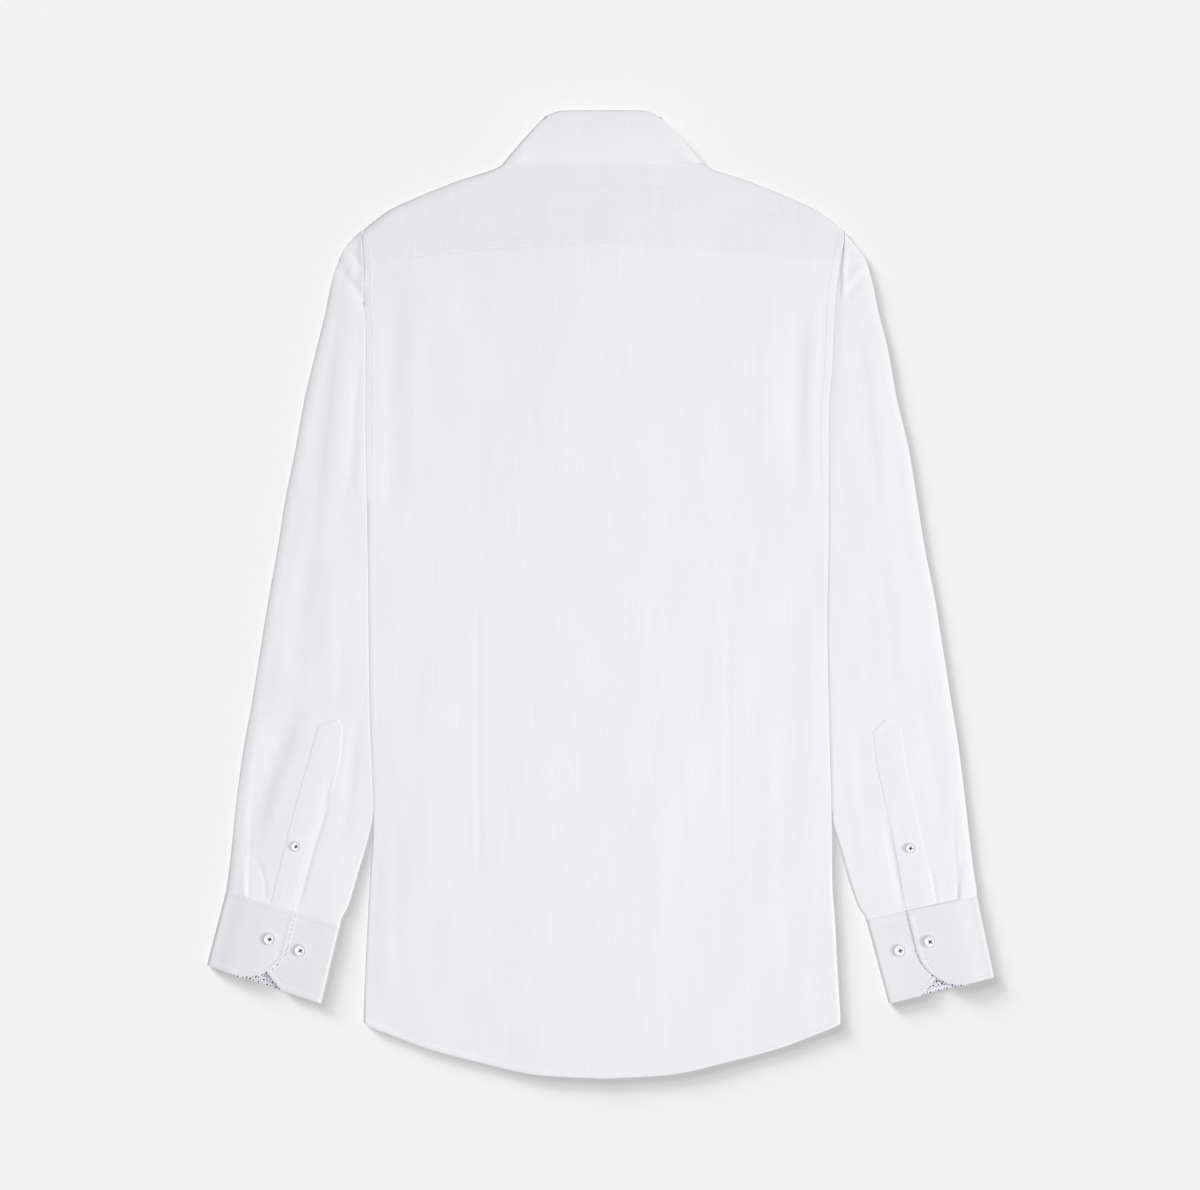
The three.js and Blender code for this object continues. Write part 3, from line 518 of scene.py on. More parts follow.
class Value:
    """The output of a shader node, which can be used in sums."""

    def __init__(self, tree: "Tree", socket: bpy.types.NodeSocket) -> None:
        """Wraps a tree's output socket."""
        self.tree = tree
        self.socket = socket

    def math(self, operation: str, *others: "Value | float") -> "Value":
        """Returns what a Math node makes of this value and the others."""
        inputs = {0: self, **dict(enumerate(others, 1))}
        return self.tree.node("ShaderNodeMath", {"operation": operation}, inputs)

    def __add__(self, other: "Value | float") -> "Value":
        """Returns this and the other added up."""
        return self.math("ADD", other)

    __radd__ = __add__

    def __mul__(self, other: "Value | float") -> "Value":
        """Returns this times the other."""
        return self.math("MULTIPLY", other)

    __rmul__ = __mul__

    def __sub__(self, other: "Value | float") -> "Value":
        """Returns this less the other."""
        return self.math("SUBTRACT", other)

    def __rsub__(self, other: float) -> "Value":
        """Returns the other less this."""
        return self * -1.0 + other

    def __lt__(self, other: "Value | float") -> "Value":
        """Returns 1 where this is the smaller one."""
        return self.math("LESS_THAN", other)


class Tree:
    """The shader nodes of one material."""

    def __init__(self, name: str) -> None:
        """Starts a material with a plain shader.

        Args:
            name: The material's name.
        """
        self.material = bpy.data.materials.new(name)
        self.material.use_nodes = True
        self.nodes = self.material.node_tree.nodes
        self.links = self.material.node_tree.links
        self.surface = self.nodes["Principled BSDF"]

    def node(
        self,
        kind: str,
        settings: dict[str, object] | None = None,
        inputs: dict[str | int, object] | None = None,
        output: str | int = 0,
    ) -> Value:
        """Adds a node.

        Args:
            kind: The node's type.
            settings: Its settings, set before its sockets.
            inputs: A value or a link for each of its sockets.
            output: Which output to give back.

        Returns:
            The node's output.
        """
        made = self.nodes.new(kind)
        for key, value in (settings or {}).items():
            if key == "stops":
                self.fill_ramp(made, value)
            else:
                setattr(made, key, value)
        for key, value in (inputs or {}).items():
            self.join(made.inputs[key], value)
        return Value(self, made.outputs[output])

    def join(self, socket: bpy.types.NodeSocket, value: object) -> None:
        """Gives a socket its value.

        Args:
            socket: The input.
            value: A link, or a plain value.
        """
        if isinstance(value, Value):
            self.links.new(value.socket, socket)
        else:
            socket.default_value = value

    @staticmethod
    def fill_ramp(ramp: bpy.types.Node, stops: Sequence[tuple[float, Colour]]) -> None:
        """Sets a colour ramp's stops.

        Args:
            ramp: The ramp.
            stops: The place and the colour of each stop, two or more.
        """
        elements = ramp.color_ramp.elements
        while len(elements) < len(stops):
            elements.new(0.5)
        for element, (place, colour) in zip(elements, stops):
            element.position = place
            element.color = colour

    def mix(self, share: "Value | float", start: "Value | Colour", end: "Value | Colour") -> Value:
        """Returns a mix of two colours, with a share of the second."""
        return self.node("ShaderNodeMix", {"data_type": "RGBA"}, {0: share, 6: start, 7: end}, output=2)

    def set(self, **values: object) -> bpy.types.Material:
        """Sets sockets of the shader, with an underscore for each space of a name.

        Args:
            values: A value or a link for each of them.

        Returns:
            The finished material.
        """
        for name, value in values.items():
            self.join(self.surface.inputs[name.replace("_", " ")], value)
        return self.material


@dataclass(frozen=True)
class Shirting:
    """Plain woven shirt cloth.

    Attributes:
        name: The material's name.
        colour: The cloth's colour.
        slub: How much the threads along the cloth differ in shade.
        weave: How rough the weave is, as the height of a thread in metres.
    """

    name: str = "shirt_cloth"
    colour: Colour = shade(240, 239, 244)
    slub: float = 0.11
    weave: float = 0.00005

    def build(self) -> bpy.types.Material:
        """Returns the material."""
        tree = Tree(self.name)
        grain = tree.node("ShaderNodeUVMap", {"uv_map": "grain"})
        streaks = self.threads(tree, grain, (900.0, 22.0, 1.0), 3.0)
        cross = self.threads(tree, grain, (30.0, 700.0, 1.0), 2.0)
        broad = self.threads(tree, grain, (60.0, 4.0, 1.0), 2.0)
        half = self.slub * 0.5
        shades = (streaks - 0.5) * self.slub + (cross - 0.5) * half + (broad - 0.5) * half
        darker = tuple(c * 0.8 for c in self.colour[:3]) + (1.0,)
        colour = tree.mix(0.22 + shades * 4.0, self.colour, darker)
        weave = self.threads(tree, grain, (2600.0, 2600.0, 1.0), 1.0)
        bump = tree.node(
            "ShaderNodeBump",
            inputs={"Strength": 0.5, "Distance": self.weave, "Height": weave + streaks * 1.5 + cross},
        )
        return tree.set(Base_Color=colour, Roughness=0.88, Normal=bump, Specular_IOR_Level=0.2)

    @staticmethod
    def threads(tree: Tree, grain: Value, scale: tuple[float, float, float], detail: float) -> Value:
        """Returns about 0.5, varied thread by thread, by their number to a metre each way."""
        place = tree.node("ShaderNodeMapping", {"vector_type": "POINT"}, {"Vector": grain, "Scale": scale})
        return tree.node(
            "ShaderNodeTexNoise",
            inputs={"Vector": place, "Scale": 1.0, "Detail": detail, "Roughness": 0.6},
        )


@dataclass(frozen=True)
class PrintedCotton:
    """White cotton with a close print of small dark flowers and leaves.

    Attributes:
        name: The material's name.
        ground: The colour between the flowers.
        ink: The colour of the print.
        repeat: The size of the print's repeat in metres.
    """

    name: str = "printed_cloth"
    ground: Colour = shade(232, 233, 240)
    ink: Colour = shade(34, 36, 52)
    repeat: float = 0.0078

    # Each leaf or petal of the repeat: its middle, its half length, its half width and its turn
    MARKS = (
        (0.22, 0.25, 0.13, 0.045, 0.4), (0.22, 0.25, 0.13, 0.045, 1.45), (0.22, 0.25, 0.13, 0.045, 2.5),
        (0.70, 0.62, 0.12, 0.05, 0.1), (0.70, 0.62, 0.12, 0.05, 1.15), (0.70, 0.62, 0.12, 0.05, 2.2),
        (0.55, 0.16, 0.15, 0.04, 1.2), (0.43, 0.80, 0.14, 0.04, -0.6), (0.12, 0.66, 0.13, 0.05, 0.9),
        (0.86, 0.30, 0.11, 0.04, -1.0), (0.36, 0.50, 0.09, 0.03, 0.2), (0.88, 0.88, 0.08, 0.04, 0.8),
        (0.14, 0.90, 0.07, 0.03, -0.4), (0.56, 0.42, 0.06, 0.03, 1.8),
    )

    def build(self) -> bpy.types.Material:
        """Returns the material."""
        tree = Tree(self.name)
        grain = tree.node("ShaderNodeUVMap", {"uv_map": "grain"})
        scaled = tree.node("ShaderNodeVectorMath", {"operation": "SCALE"}, {0: grain, 3: 1 / self.repeat})
        tile = tree.node("ShaderNodeVectorMath", {"operation": "FRACTION"}, {0: scaled})
        inked: Value | None = None
        for mark in self.MARKS:
            drawn = self.leaf(tree, tile, mark)
            inked = drawn if inked is None else inked.math("MAXIMUM", drawn)
        return tree.set(Base_Color=tree.mix(inked, self.ground, self.ink), Roughness=0.85)

    @staticmethod
    def leaf(tree: Tree, tile: Value, mark: tuple[float, float, float, float, float]) -> Value:
        """Draws one leaf as a thin oval.

        Args:
            tree: The tree to add to.
            tile: The place in the repeat.
            mark: The leaf's row of the table.

        Returns:
            1 on the leaf.
        """
        x, y, length, width, turn = mark
        moved = tree.node("ShaderNodeVectorMath", {"operation": "SUBTRACT"}, {0: tile, 1: (x, y, 0)})
        placed = tree.node(
            "ShaderNodeMapping",
            {"vector_type": "TEXTURE"},
            {"Vector": moved, "Rotation": (0, 0, turn), "Scale": (length, width, 1)},
        )
        out = tree.node("ShaderNodeVectorMath", {"operation": "LENGTH"}, {0: placed}, output=1)
        return out < 1.0


@dataclass(frozen=True)
class PlainFinish:
    """A finish of one colour.

    Attributes:
        name: The material's name.
        colour: Its colour.
        roughness: From 0, a mirror, to 1.
        glow: How much white light it gives off.
    """

    name: str
    colour: Colour
    roughness: float
    glow: float = 0.0

    def build(self) -> bpy.types.Material:
        """Returns the material."""
        tree = Tree(self.name)
        return tree.set(
            Base_Color=self.colour, Roughness=self.roughness,
            Emission_Color=(1.0, 1.0, 1.0, 1.0), Emission_Strength=self.glow,
        )


@dataclass(frozen=True)
class Shell:
    """Pale shell with a faint cloudy sheen, for buttons.

    Attributes:
        name: The material's name.
        colour: Its main colour.
        cloud: The colour of its clouds.
    """

    name: str = "shell_button"
    colour: Colour = shade(246, 245, 244)
    cloud: Colour = shade(222, 222, 228)

    def build(self) -> bpy.types.Material:
        """Returns the material."""
        tree = Tree(self.name)
        place = tree.node("ShaderNodeTexCoord", output="Object")
        cloud = tree.node("ShaderNodeTexNoise", inputs={"Vector": place, "Scale": 260.0, "Detail": 2.0})
        colour = tree.mix(cloud, self.colour, self.cloud)
        return tree.set(Base_Color=colour, Roughness=0.28, Coat_Weight=0.3, Coat_Roughness=0.1)


@dataclass(frozen=True)
class Finishes:
    """All the shirt's materials."""

    cloth: bpy.types.Material
    yoke: bpy.types.Material
    pressed: bpy.types.Material
    print: bpy.types.Material
    shell: bpy.types.Material
    thread: bpy.types.Material
    dark_thread: bpy.types.Material
    floor: bpy.types.Material

    @classmethod
    def build(cls) -> "Finishes":
        """Returns all of them, built."""
        return cls(
            cloth=Shirting().build(),
            # The yoke: the shirt cloth painted a little darker, painted shade for its darker tone under the
            # collar.
            yoke=Shirting("yoke_cloth", shade(237.5, 236.5, 241.5)).build(),
            # The cuffs: the shirt cloth painted darker, as painted shade for their darker tone.
            pressed=Shirting("pressed_cloth", shade(234, 233, 238)).build(),
            print=PrintedCotton().build(),
            shell=Shell().build(),
            # White thread, a little brighter than the cloth: its own colour, and partly painted highlight for
            # the light lines along the seams and edges.
            thread=PlainFinish("white_thread_and_highlight", shade(247, 246, 250), 0.7).build(),
            dark_thread=PlainFinish("dark_thread", shade(38, 40, 58), 0.7).build(),
            floor=PlainFinish("floor", (0.5, 0.5, 0.5, 1.0), 0.9, glow=0.366).build(),
        )


# Where the pieces lie


class Outline:
    """The curves that the flat shirt's pieces are cut along."""

    back_hem = Curve(BACK_HEM)
    front_hem = Curve(FRONT_HEM)
    yoke_seam = Curve(YOKE_SEAM)
    shoulder = Curve(SHOULDER)
    back_neck = Curve(BACK_NECK)
    front_neck = Curve(FRONT_NECK)
    sides = {side: Curve(BODY_SIDES, side.column) for side in Side}
    sleeve_outside = {side: Curve(SLEEVE_OUTSIDE, side.column) for side in Side}
    sleeve_inside = {side: Curve(SLEEVE_INSIDE, side.column) for side in Side}

    @classmethod
    def side_at(cls, x: np.ndarray, y: np.ndarray) -> np.ndarray:
        """Returns how far the body reaches at a height, on the side that a point is on."""
        return np.where(np.asarray(x) < 0, cls.sides[Side.LEFT](y), cls.sides[Side.RIGHT](y))

    @classmethod
    def inner_edge(cls, side: Side, y: np.ndarray) -> np.ndarray:
        """Returns the distance from the middle to a sleeve's inner edge."""
        return np.where(y < SLEEVE_FREE_Y, cls.sleeve_inside[side](y), cls.sides[side](y) + SEAM_GAP)


SHIRT_RELIEF = Relief(
    shapes=(
        # The two darts of the back
        Fold(((-111, -10), (-110, -120), (-109, -250)), 5, -0.38, 0.3, 0.25),
        Fold(((111, -14), (110, -125), (111, -246)), 5, -0.32, -0.2, 0.25),
        # Creases across the left shoulder
        Fold(((-236, 305), (-222, 289), (-209, 273)), 5, 0.7, 0.2, 0.06),
        Fold(((-231, 311), (-221, 299), (-209, 286)), 4.5, -0.9, 0.3, 0.08),
        Fold(((-240, 300), (-224, 279), (-208, 256)), 5.5, -2.0, -0.4, 0.05),
        Fold(((-217, 320), (-217, 298), (-214, 272)), 9, -1.3, -0.35, 0.25),
        Fold(((-234, 322), (-243, 298), (-250, 266)), 27, -3.0, 0.0, 0.3),
        # Slit and lit face at the right shoulder
        Fold(((210.5, 306), (208.8, 296), (207.6, 284), (206.8, 272)), 4.0, -0.5, -0.6, 0.3),
        Fold(((213.6, 307), (212.6, 296), (211.4, 281), (211.0, 262)), 3.6, 0.8, 0.4, 0.25),
        Fold(((211, 271), (220, 280), (231, 292)), 3.6, 0.8, 0.3, 0.15),
        Fold(((215, 263), (222, 272), (231, 284)), 3.4, -0.9, 0.0, 0.2),
        # The soft double valley along the right armhole
        Fold(((206, 276), (204, 240), (201, 200), (199, 160), (199, 110)), 7, -0.5, 0.2, 0.2),
        Fold(((197, 270), (194, 235), (192, 190), (190, 150)), 8, -0.45, -0.2, 0.25),
        Fold(((200, 268), (198, 225), (196, 180)), 4, 0.2, 0.0, 0.3),
        # Broad folds down the upper back
        Fold(((176, 268), (172, 215), (169, 150), (170, 90)), 15, -0.9, 0.3, 0.35),
        Fold(((187, 250), (184, 200), (181, 140), (183, 70)), 11, 0.7, 0.0, 0.35),
        Fold(((150, 270), (147, 200), (144, 120)), 17, 0.6, -0.2, 0.4),
        Fold(((-184, 255), (-186, 190), (-184, 120), (-187, 60)), 13, -0.6, 0.2, 0.35),
        Fold(((-164, 265), (-166, 190), (-163, 110)), 15, 0.5, 0.1, 0.4),
        Fold(((-40, 230), (-36, 120), (-44, 10)), 26, 0.4, 0.1, 0.4),
        Fold(((62, 190), (66, 90), (58, -20)), 24, -0.4, -0.1, 0.4),
        Fold(((-20, -80), (-28, -190), (-22, -290)), 28, -0.4, 0.2, 0.4),
        Fold(((52, -140), (47, -240), (55, -330)), 24, 0.4, 0.1, 0.4),
        Fold(((-150, -60), (-154, -170), (-148, -290)), 20, 0.5, 0.3, 0.4),
        Fold(((158, -70), (160, -190), (154, -300)), 18, -0.5, 0.2, 0.4),
        Fold(((-178, -210), (-182, -290), (-176, -350)), 12, -0.5, 0.0, 0.35),
        Fold(((180, 10), (183, -80), (181, -170)), 13, 0.5, 0.0, 0.35),
        Fold(((-208, -215), (-209, -300), (-207, -372)), 32, -1.5, 0.0, 0.3),
        # Low folds across the yoke, under the collar
        Fold(((-64, 362), (-30, 352), (8, 354)), 9, 0.5, 0.2, 0.35),
        Fold(((-14, 366), (30, 361), (72, 366)), 8, -0.5, -0.2, 0.35),
        Fold(((-92, 352), (-60, 342), (-22, 340)), 10, -0.4, 0.1, 0.4),
        Fold(((18, 340), (58, 336), (96, 345)), 10, 0.4, 0.2, 0.4),
        Fold(((-150, 340), (-126, 332), (-96, 330)), 9, 0.4, 0.0, 0.35),
        Fold(((112, 348), (138, 338), (168, 334)), 9, -0.4, 0.0, 0.35),
        # The left sleeve
        Fold(((-224, 250), (-228, 190), (-236, 120), (-246, 40)), 13, 0.6, 0.2, 0.35),
        Fold(((-238, 232), (-246, 170), (-254, 90)), 12, -0.7, -0.2, 0.35),
        Fold(((-216, 200), (-219, 140), (-222, 90)), 7, -0.5, 0.0, 0.35),
        Fold(((-256, 60), (-266, -10), (-274, -90)), 15, -0.7, 0.2, 0.35),
        Fold(((-236, 30), (-240, -50), (-242, -104)), 14, 0.5, -0.2, 0.35),
        Fold(((-271, -98), (-287, -138), (-298, -172), (-310, -214)), 20, -2.1, -0.3, 0.42),
        Fold(((-310, -227), (-301, -238), (-297, -254), (-296, -268)), 3.2, -0.5, 0.0, 0.25),
        Fold(((-238, -160), (-245.5, -197), (-254, -224), (-267, -274)), 5, -0.9, -0.9, 0.2),
        Fold(((-216, -110), (-222, -160), (-230, -225)), 9, -0.5, 0.0, 0.35),
        # The right sleeve
        Fold(((222, 240), (228, 170), (238, 90)), 13, -0.35, -0.2, 0.35),
        Fold(((236, 226), (243, 160), (252, 70)), 12, 0.6, 0.2, 0.35),
        Fold(((252, 50), (262, -30), (270, -100)), 15, 0.5, 0.1, 0.35),
        Fold(((228, 40), (234, -40), (236, -110)), 12, -0.3, 0.0, 0.35),
        Fold(((282, -90), (290, -150), (299, -215)), 13, -0.4, 0.3, 0.35),
        Fold(((214, -120), (221, -180), (232, -240)), 9, 0.3, 0.0, 0.35),
        # Pleats into the cuffs
        Pleat(((-312.8, -264), (-311.5, -229), (-310.6, -190), (-304.5, -132)), 14, 0.75),
        Pleat(((311.5, -272), (314, -240), (316, -222), (312.4, -182)), 13, 0.5),
        Fold(((310, -165), (313.5, -200), (316, -224), (314, -250), (311.5, -276)), 2.8, -0.6, 0.0, 0.15),
        Fold(((250, -200), (257, -235), (264, -276)), 4.5, -0.8, -0.9, 0.2),
        Fold(((289, -242), (291.5, -262), (293, -276)), 3.5, -0.6, 0.0, 0.25),
    ),
    waves=0.35,
    seed=7,
)


def seam_dip(x: np.ndarray, y: np.ndarray) -> np.ndarray:
    """Sinks the cloth into the seams round the armholes.

    Args:
        x: Where, across the shirt.
        y: Where, up the shirt.

    Returns:
        The height it adds, below nought.
    """
    out = np.abs(x) - Outline.side_at(x, y)
    pucker = 1.0 + 0.3 * np.sin(y * 0.61) * np.sin(y * 0.23 + 1.0)
    ridge = 0.1 * np.exp(-(((out + 3.0) / 2.0) ** 2)) * pucker
    return (y > UNDERARM_Y) * (ridge - 0.14 * np.exp(-((out / 1.3) ** 2)) * pucker)


def top_height(x: np.ndarray, y: np.ndarray) -> np.ndarray:
    """Returns the height of the upper cloth's surface."""
    body = PANEL_TOP + CROWN * level_then_fall(x, CROWN_TO)
    return body + SHIRT_RELIEF.lift(x, y) + seam_dip(x, y)


def front_height(side: Side, x: np.ndarray, y: np.ndarray) -> np.ndarray:
    """Returns the height of a front's lower surface."""
    collar = COLLAR_RISE * smooth((y - 235) / 25) * smooth((125 - np.abs(x)) / 28)
    return np.maximum(collar, FRONT_RISE[side.value] * level_then_fall(x, FRONT_RISE_TO))


def arc(start: float, end: float, count: int) -> list[float]:
    """Returns turns from one angle in degrees to another, in radians."""
    return [math.radians(turn) for turn in np.linspace(start, end, count)]


@dataclass(frozen=True)
class Edge:
    """The rounded edge where the upper cloth folds over to the under cloth.

    Attributes:
        middle: The height of its outermost line.
        under_width: How far in it meets the surface.
        steps: How many turns each of its two parts has.
    """

    middle: float = 3.2
    under_width: float = 4.0
    steps: int = 8

    def upper(self, width: np.ndarray | float, top: np.ndarray) -> list[tuple[np.ndarray, np.ndarray]]:
        """Returns the distance in and the height of each turn, from the flat cloth out."""
        turns = arc(80, 0, self.steps)
        return [(width * (1 - math.cos(t)), self.middle + (top - self.middle) * math.sin(t)) for t in turns]

    def lower(self) -> list[tuple[float, float]]:
        """Returns the distance in and the height of each turn, from the edge in."""
        turns = arc(-18, -90, self.steps - 3)
        return [(self.under_width * (1 - math.cos(t)), self.middle * (1 + math.sin(t))) for t in turns]


EDGE = Edge()


def side_round(side: Side, free: float, y: np.ndarray, ease: float) -> np.ndarray:
    """Returns how far in an edge's rounding starts, next to nothing above the underarm."""
    below = between(HELD_ROUND[side], free, smooth((HELD_TO_Y - y) / 60))
    return between(0.2, below, smooth((UNDERARM_Y - y) / ease))


# The workshop


@dataclass
class Ground:
    """The upper surfaces of some pieces, to lay smaller ones on.

    Attributes:
        trees: A search tree of each piece.
        shift: From the shirt's own coordinates to the frame, in millimetres.
    """

    trees: list[BVHTree]
    shift: Vector

    @classmethod
    def of(cls, pieces: Iterable[bpy.types.Object], shift: Vector) -> "Ground":
        """Reads the pieces.

        Args:
            pieces: What things lie on.
            shift: From the shirt's own coordinates to the frame, in millimetres.

        Returns:
            Their ground.
        """
        trees = []
        for made in pieces:
            corners = [v.co for v in made.data.vertices]
            trees.append(BVHTree.FromPolygons(corners, [p.vertices for p in made.data.polygons]))
        return cls(trees, shift)

    def height(self, x: float, y: float) -> float:
        """Finds the highest surface under a point.

        Args:
            x: Where, across the shirt.
            y: Where, up the shirt.

        Returns:
            Its height in millimetres, or 0 where there is none.
        """
        start = Vector(((x + self.shift.x) * MM, (y + self.shift.y) * MM, 0.1))
        hits = [tree.ray_cast(start, Vector((0, 0, -1)))[0] for tree in self.trees]
        return max((hit.z / MM for hit in hits if hit is not None), default=0.0)


@dataclass(frozen=True)
class Cut:
    """How a sheet of the shirt was cut, before it was sewn.

    Attributes:
        width: In metres.
        length: In metres.
        area: In square metres, or None for a rectangle.
        held: How the sheet is held.
        rests_on: What it lies on.
    """

    width: float
    length: float
    area: float | None = None
    held: str = "laid"
    rests_on: tuple[str, ...] = ("floor",)


class Workshop:
    """Makes the pieces and keeps their facts."""

    def __init__(self, finishes: Finishes) -> None:
        """Finds where the shirt lies in the frame.

        Args:
            finishes: The shirt's materials.
        """
        self.finishes = finishes
        low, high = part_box("button_front_1")
        middle = (Vector(low) + Vector(high)) / 2 / MM
        self.shift = Vector((middle.x, middle.y - FRONT_BUTTON_TOP_Y, 0.0))
        self.cuts: dict[str, Cut] = {}

    def add(
        self,
        name: str,
        mesh: bpy.types.Mesh,
        material: bpy.types.Material,
        nodes: Sequence[str],
        slot: str | None,
    ) -> bpy.types.Object:
        """Puts a mesh in the scene as a piece of the shirt.

        Args:
            name: The piece's name.
            mesh: Its mesh in metres.
            material: Its finish.
            nodes: The solids that it stands for.
            slot: Not used.

        Returns:
            The piece.
        """
        mesh.materials.append(material)
        made = bpy.data.objects.new(name, mesh)
        bpy.context.scene.collection.objects.link(made)
        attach(made, "root")
        if nodes:
            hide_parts(*nodes)
        log.info("%s: %d faces", name, len(mesh.polygons))
        return made

    def cloth(
        self, node: str, sheet: Sheet, thickness: float, cut: Cut, use: Use = Use.SHIRT
    ) -> bpy.types.Object:
        """Makes a piece of cloth.

        Args:
            node: The solid that it stands for.
            sheet: Its outer surface.
            thickness: In millimetres.
            cut: How it was cut.
            use: What it is for.

        Returns:
            The piece.
        """
        name = f"{node}_cloth"
        mesh = sheet.mesh(name, thickness, self.shift)
        material = getattr(self.finishes, use.value)
        slot = "printed_cloth" if use is Use.LINING else "shirt_cloth"
        made = self.add(name, mesh, material, [node], slot)
        self.cuts[name] = cut
        return made

    def declare(self) -> None:
        """Reads the cut of every sheet, and does nothing with it."""
        for name, cut in self.cuts.items():
            cut.width
            list(cut.rests_on)


# The body


def stack(columns: Sequence[tuple[np.ndarray, np.ndarray, np.ndarray]]) -> np.ndarray:
    """Returns a grid made of columns, each with the X, Y and Z of its points."""
    return np.stack([np.stack(np.broadcast_arrays(*column), axis=-1) for column in columns], axis=1)


@dataclass(frozen=True)
class Body:
    """The back, the yoke and both fronts.

    Attributes:
        round_width: How far in the rounding of the side edges starts.
        step: The usual distance between two points.
        hem: The depth of the hem.
    """

    round_width: float = 3.2
    step: float = 3.3
    hem: float = 4.8

    def hem_lift(self, from_hem: np.ndarray) -> np.ndarray:
        """Thickens the cloth at its hem, with a groove where it is stitched.

        Args:
            from_hem: The distance from the hem's edge.

        Returns:
            The height it adds.
        """
        doubled = 0.4 * smooth((self.hem + 1.4 - from_hem) / 2.0)
        groove = 0.35 * np.exp(-(((from_hem - self.hem) / 1.1) ** 2))
        rolled = 0.5 * np.exp(-((from_hem / 0.9) ** 2))
        return doubled - groove - rolled

    def back(self) -> Sheet:
        """Returns the back's outer surface, from one turned side over the top to the other."""
        fine = [(0.0, 9.0, 1.2), (664.0, 10.0, 1.5)]
        share = spread(SIDE_TOP_Y - SIDE_HEM_Y, 4.4, fine) / (SIDE_TOP_Y - SIDE_HEM_Y)
        share = np.append(share, [1.0023, 1.0075])
        side_y = between(SIDE_HEM_Y, SIDE_TOP_Y, share)
        width = {side: side_round(side, self.round_width, side_y, 70) for side in Side}

        def row_y(x: np.ndarray) -> np.ndarray:
            """Returns the height of each row at some distance from the middle."""
            top = Outline.yoke_seam(np.abs(x)) - SEAM_GAP / 2
            return between(Outline.back_hem(np.abs(x)), top, share)

        def height(x: np.ndarray, y: np.ndarray) -> np.ndarray:
            """Returns the height of the upper surface, with its hem and its seam to the yoke."""
            hem = self.hem_lift(y - Outline.back_hem(np.abs(x)))
            past_seam = y - Outline.yoke_seam(np.abs(x))
            return top_height(x, y) + hem - 1.2 * smooth((past_seam + 0.15) / 1.4)

        edges = {side: Outline.sides[side](side_y) for side in Side}
        flats = {side: edges[side] - width[side] for side in Side}

        def folded(side: Side) -> list[tuple[np.ndarray, np.ndarray, np.ndarray]]:
            """Returns one side's columns, from under the shirt to the upper cloth."""
            flat_x = side.sign * flats[side]
            top = height(flat_x, row_y(flat_x))
            columns = [(inset + 0 * top, 0.05 + 0 * top) for inset in (10.0, 8.0, 6.0)]
            columns += reversed(EDGE.lower())
            columns += reversed(EDGE.upper(width[side], top))
            made = []
            for inset, z in columns:
                x = side.sign * (edges[side] - inset)
                y = np.where(np.asarray(z) > EDGE.middle, row_y(x), between(side_y, row_y(x), 0.5))
                made.append((x, y, z))
            return made

        left, right = folded(Side.LEFT), folded(Side.RIGHT)
        across = spread(400.0, self.step, [(92.0, 8.0, 2.0), (308.0, 8.0, 2.0)]) / 200.0 - 1.0
        upper = []
        for u in across:
            x = np.where(u < 0, u * flats[Side.LEFT], u * flats[Side.RIGHT])
            y = row_y(x)
            upper.append((x, y, height(x, y)))
        points = stack([*left, *upper, *reversed(right)])
        keep = np.ones((len(share) - 1, points.shape[1] - 1), bool)
        above = side_y[1:] > UNDERARM_Y
        keep[above, : len(left)] = False
        keep[above, -len(right):] = False
        return Sheet(points, flat_grain(points), keep)

    def yoke(self) -> Sheet:
        """Returns the yoke's outer surface, from its seam up over the shoulders and down to the fronts."""
        across = spread(424.0, 3.6, [(0.0, 12.0, 1.6), (424.0, 12.0, 1.6)]) / 212.0 - 1.0
        share = spread(70.0, 3.0, [(0.0, 9.0, 1.1)]) / 70.0
        reach = np.where(across < 0, 211.4, 212.6)
        top_x = across * reach
        is_neck = np.abs(top_x) < NECK_HALF
        round_width = between(3.0, 9.0, smooth((np.abs(top_x) - 92) / 40))
        neck = Outline.back_neck(np.abs(top_x))
        shoulder = Outline.shoulder(np.abs(top_x)) - round_width
        top_y = np.where(is_neck, between(neck, shoulder, smooth((np.abs(top_x) - 58) / 17)), shoulder)

        def row_x(y: np.ndarray) -> np.ndarray:
            """Returns the places across a row that reaches to the armholes."""
            return across * (Outline.side_at(across, y) - SEAM_GAP / 2)

        rows = []
        for part in share:
            y = between(Outline.yoke_seam(np.abs(top_x)) + SEAM_GAP / 2, top_y, part)
            x = row_x(y)
            from_seam = y - Outline.yoke_seam(np.abs(x))
            z = top_height(x, y) + self.seam_lift(from_seam, x)
            rows.append((x, y, z))
        x, y, z = rows.pop()
        for turn in arc(0, 90, 8):
            out = y + round_width * math.sin(turn)
            rows.append((x, out, EDGE.middle + (z - EDGE.middle) * math.cos(turn)))
        low = np.where(x < 0, front_height(Side.LEFT, x, y), front_height(Side.RIGHT, x, y))
        for inset, height in EDGE.lower():
            rows.append((x, y + round_width - inset, low + height * (EDGE.middle - low) / EDGE.middle))
        for inset in (8.0, 15.0, YOKE_TURN):
            rows.append((x, y + round_width - inset, low))
        points = np.stack([np.stack(row, axis=-1) for row in rows])
        keep = np.ones((len(rows) - 1, len(across) - 1), bool)
        is_open = is_neck[1:] & is_neck[:-1]
        keep[len(share) - 1:, is_open] = False
        return Sheet(points, flat_grain(points), keep)

    @staticmethod
    def seam_lift(from_seam: np.ndarray, x: np.ndarray) -> np.ndarray:
        """Raises the yoke's doubled edge along its seam with the back.

        Args:
            from_seam: The distance up from the seam.
            x: Where, across the shirt.

        Returns:
            The height it adds.
        """
        pucker = 1.0 + 0.25 * np.sin(x * 0.42) * np.sin(x * 0.11 + 2.0)
        doubled = 0.3 * smooth((9.0 - from_seam) / 4.0) * pucker
        groove = 0.08 * np.exp(-(((from_seam - 6.0) / 1.0) ** 2)) * pucker
        return doubled - groove - 0.15 * np.exp(-((from_seam / 0.7) ** 2))

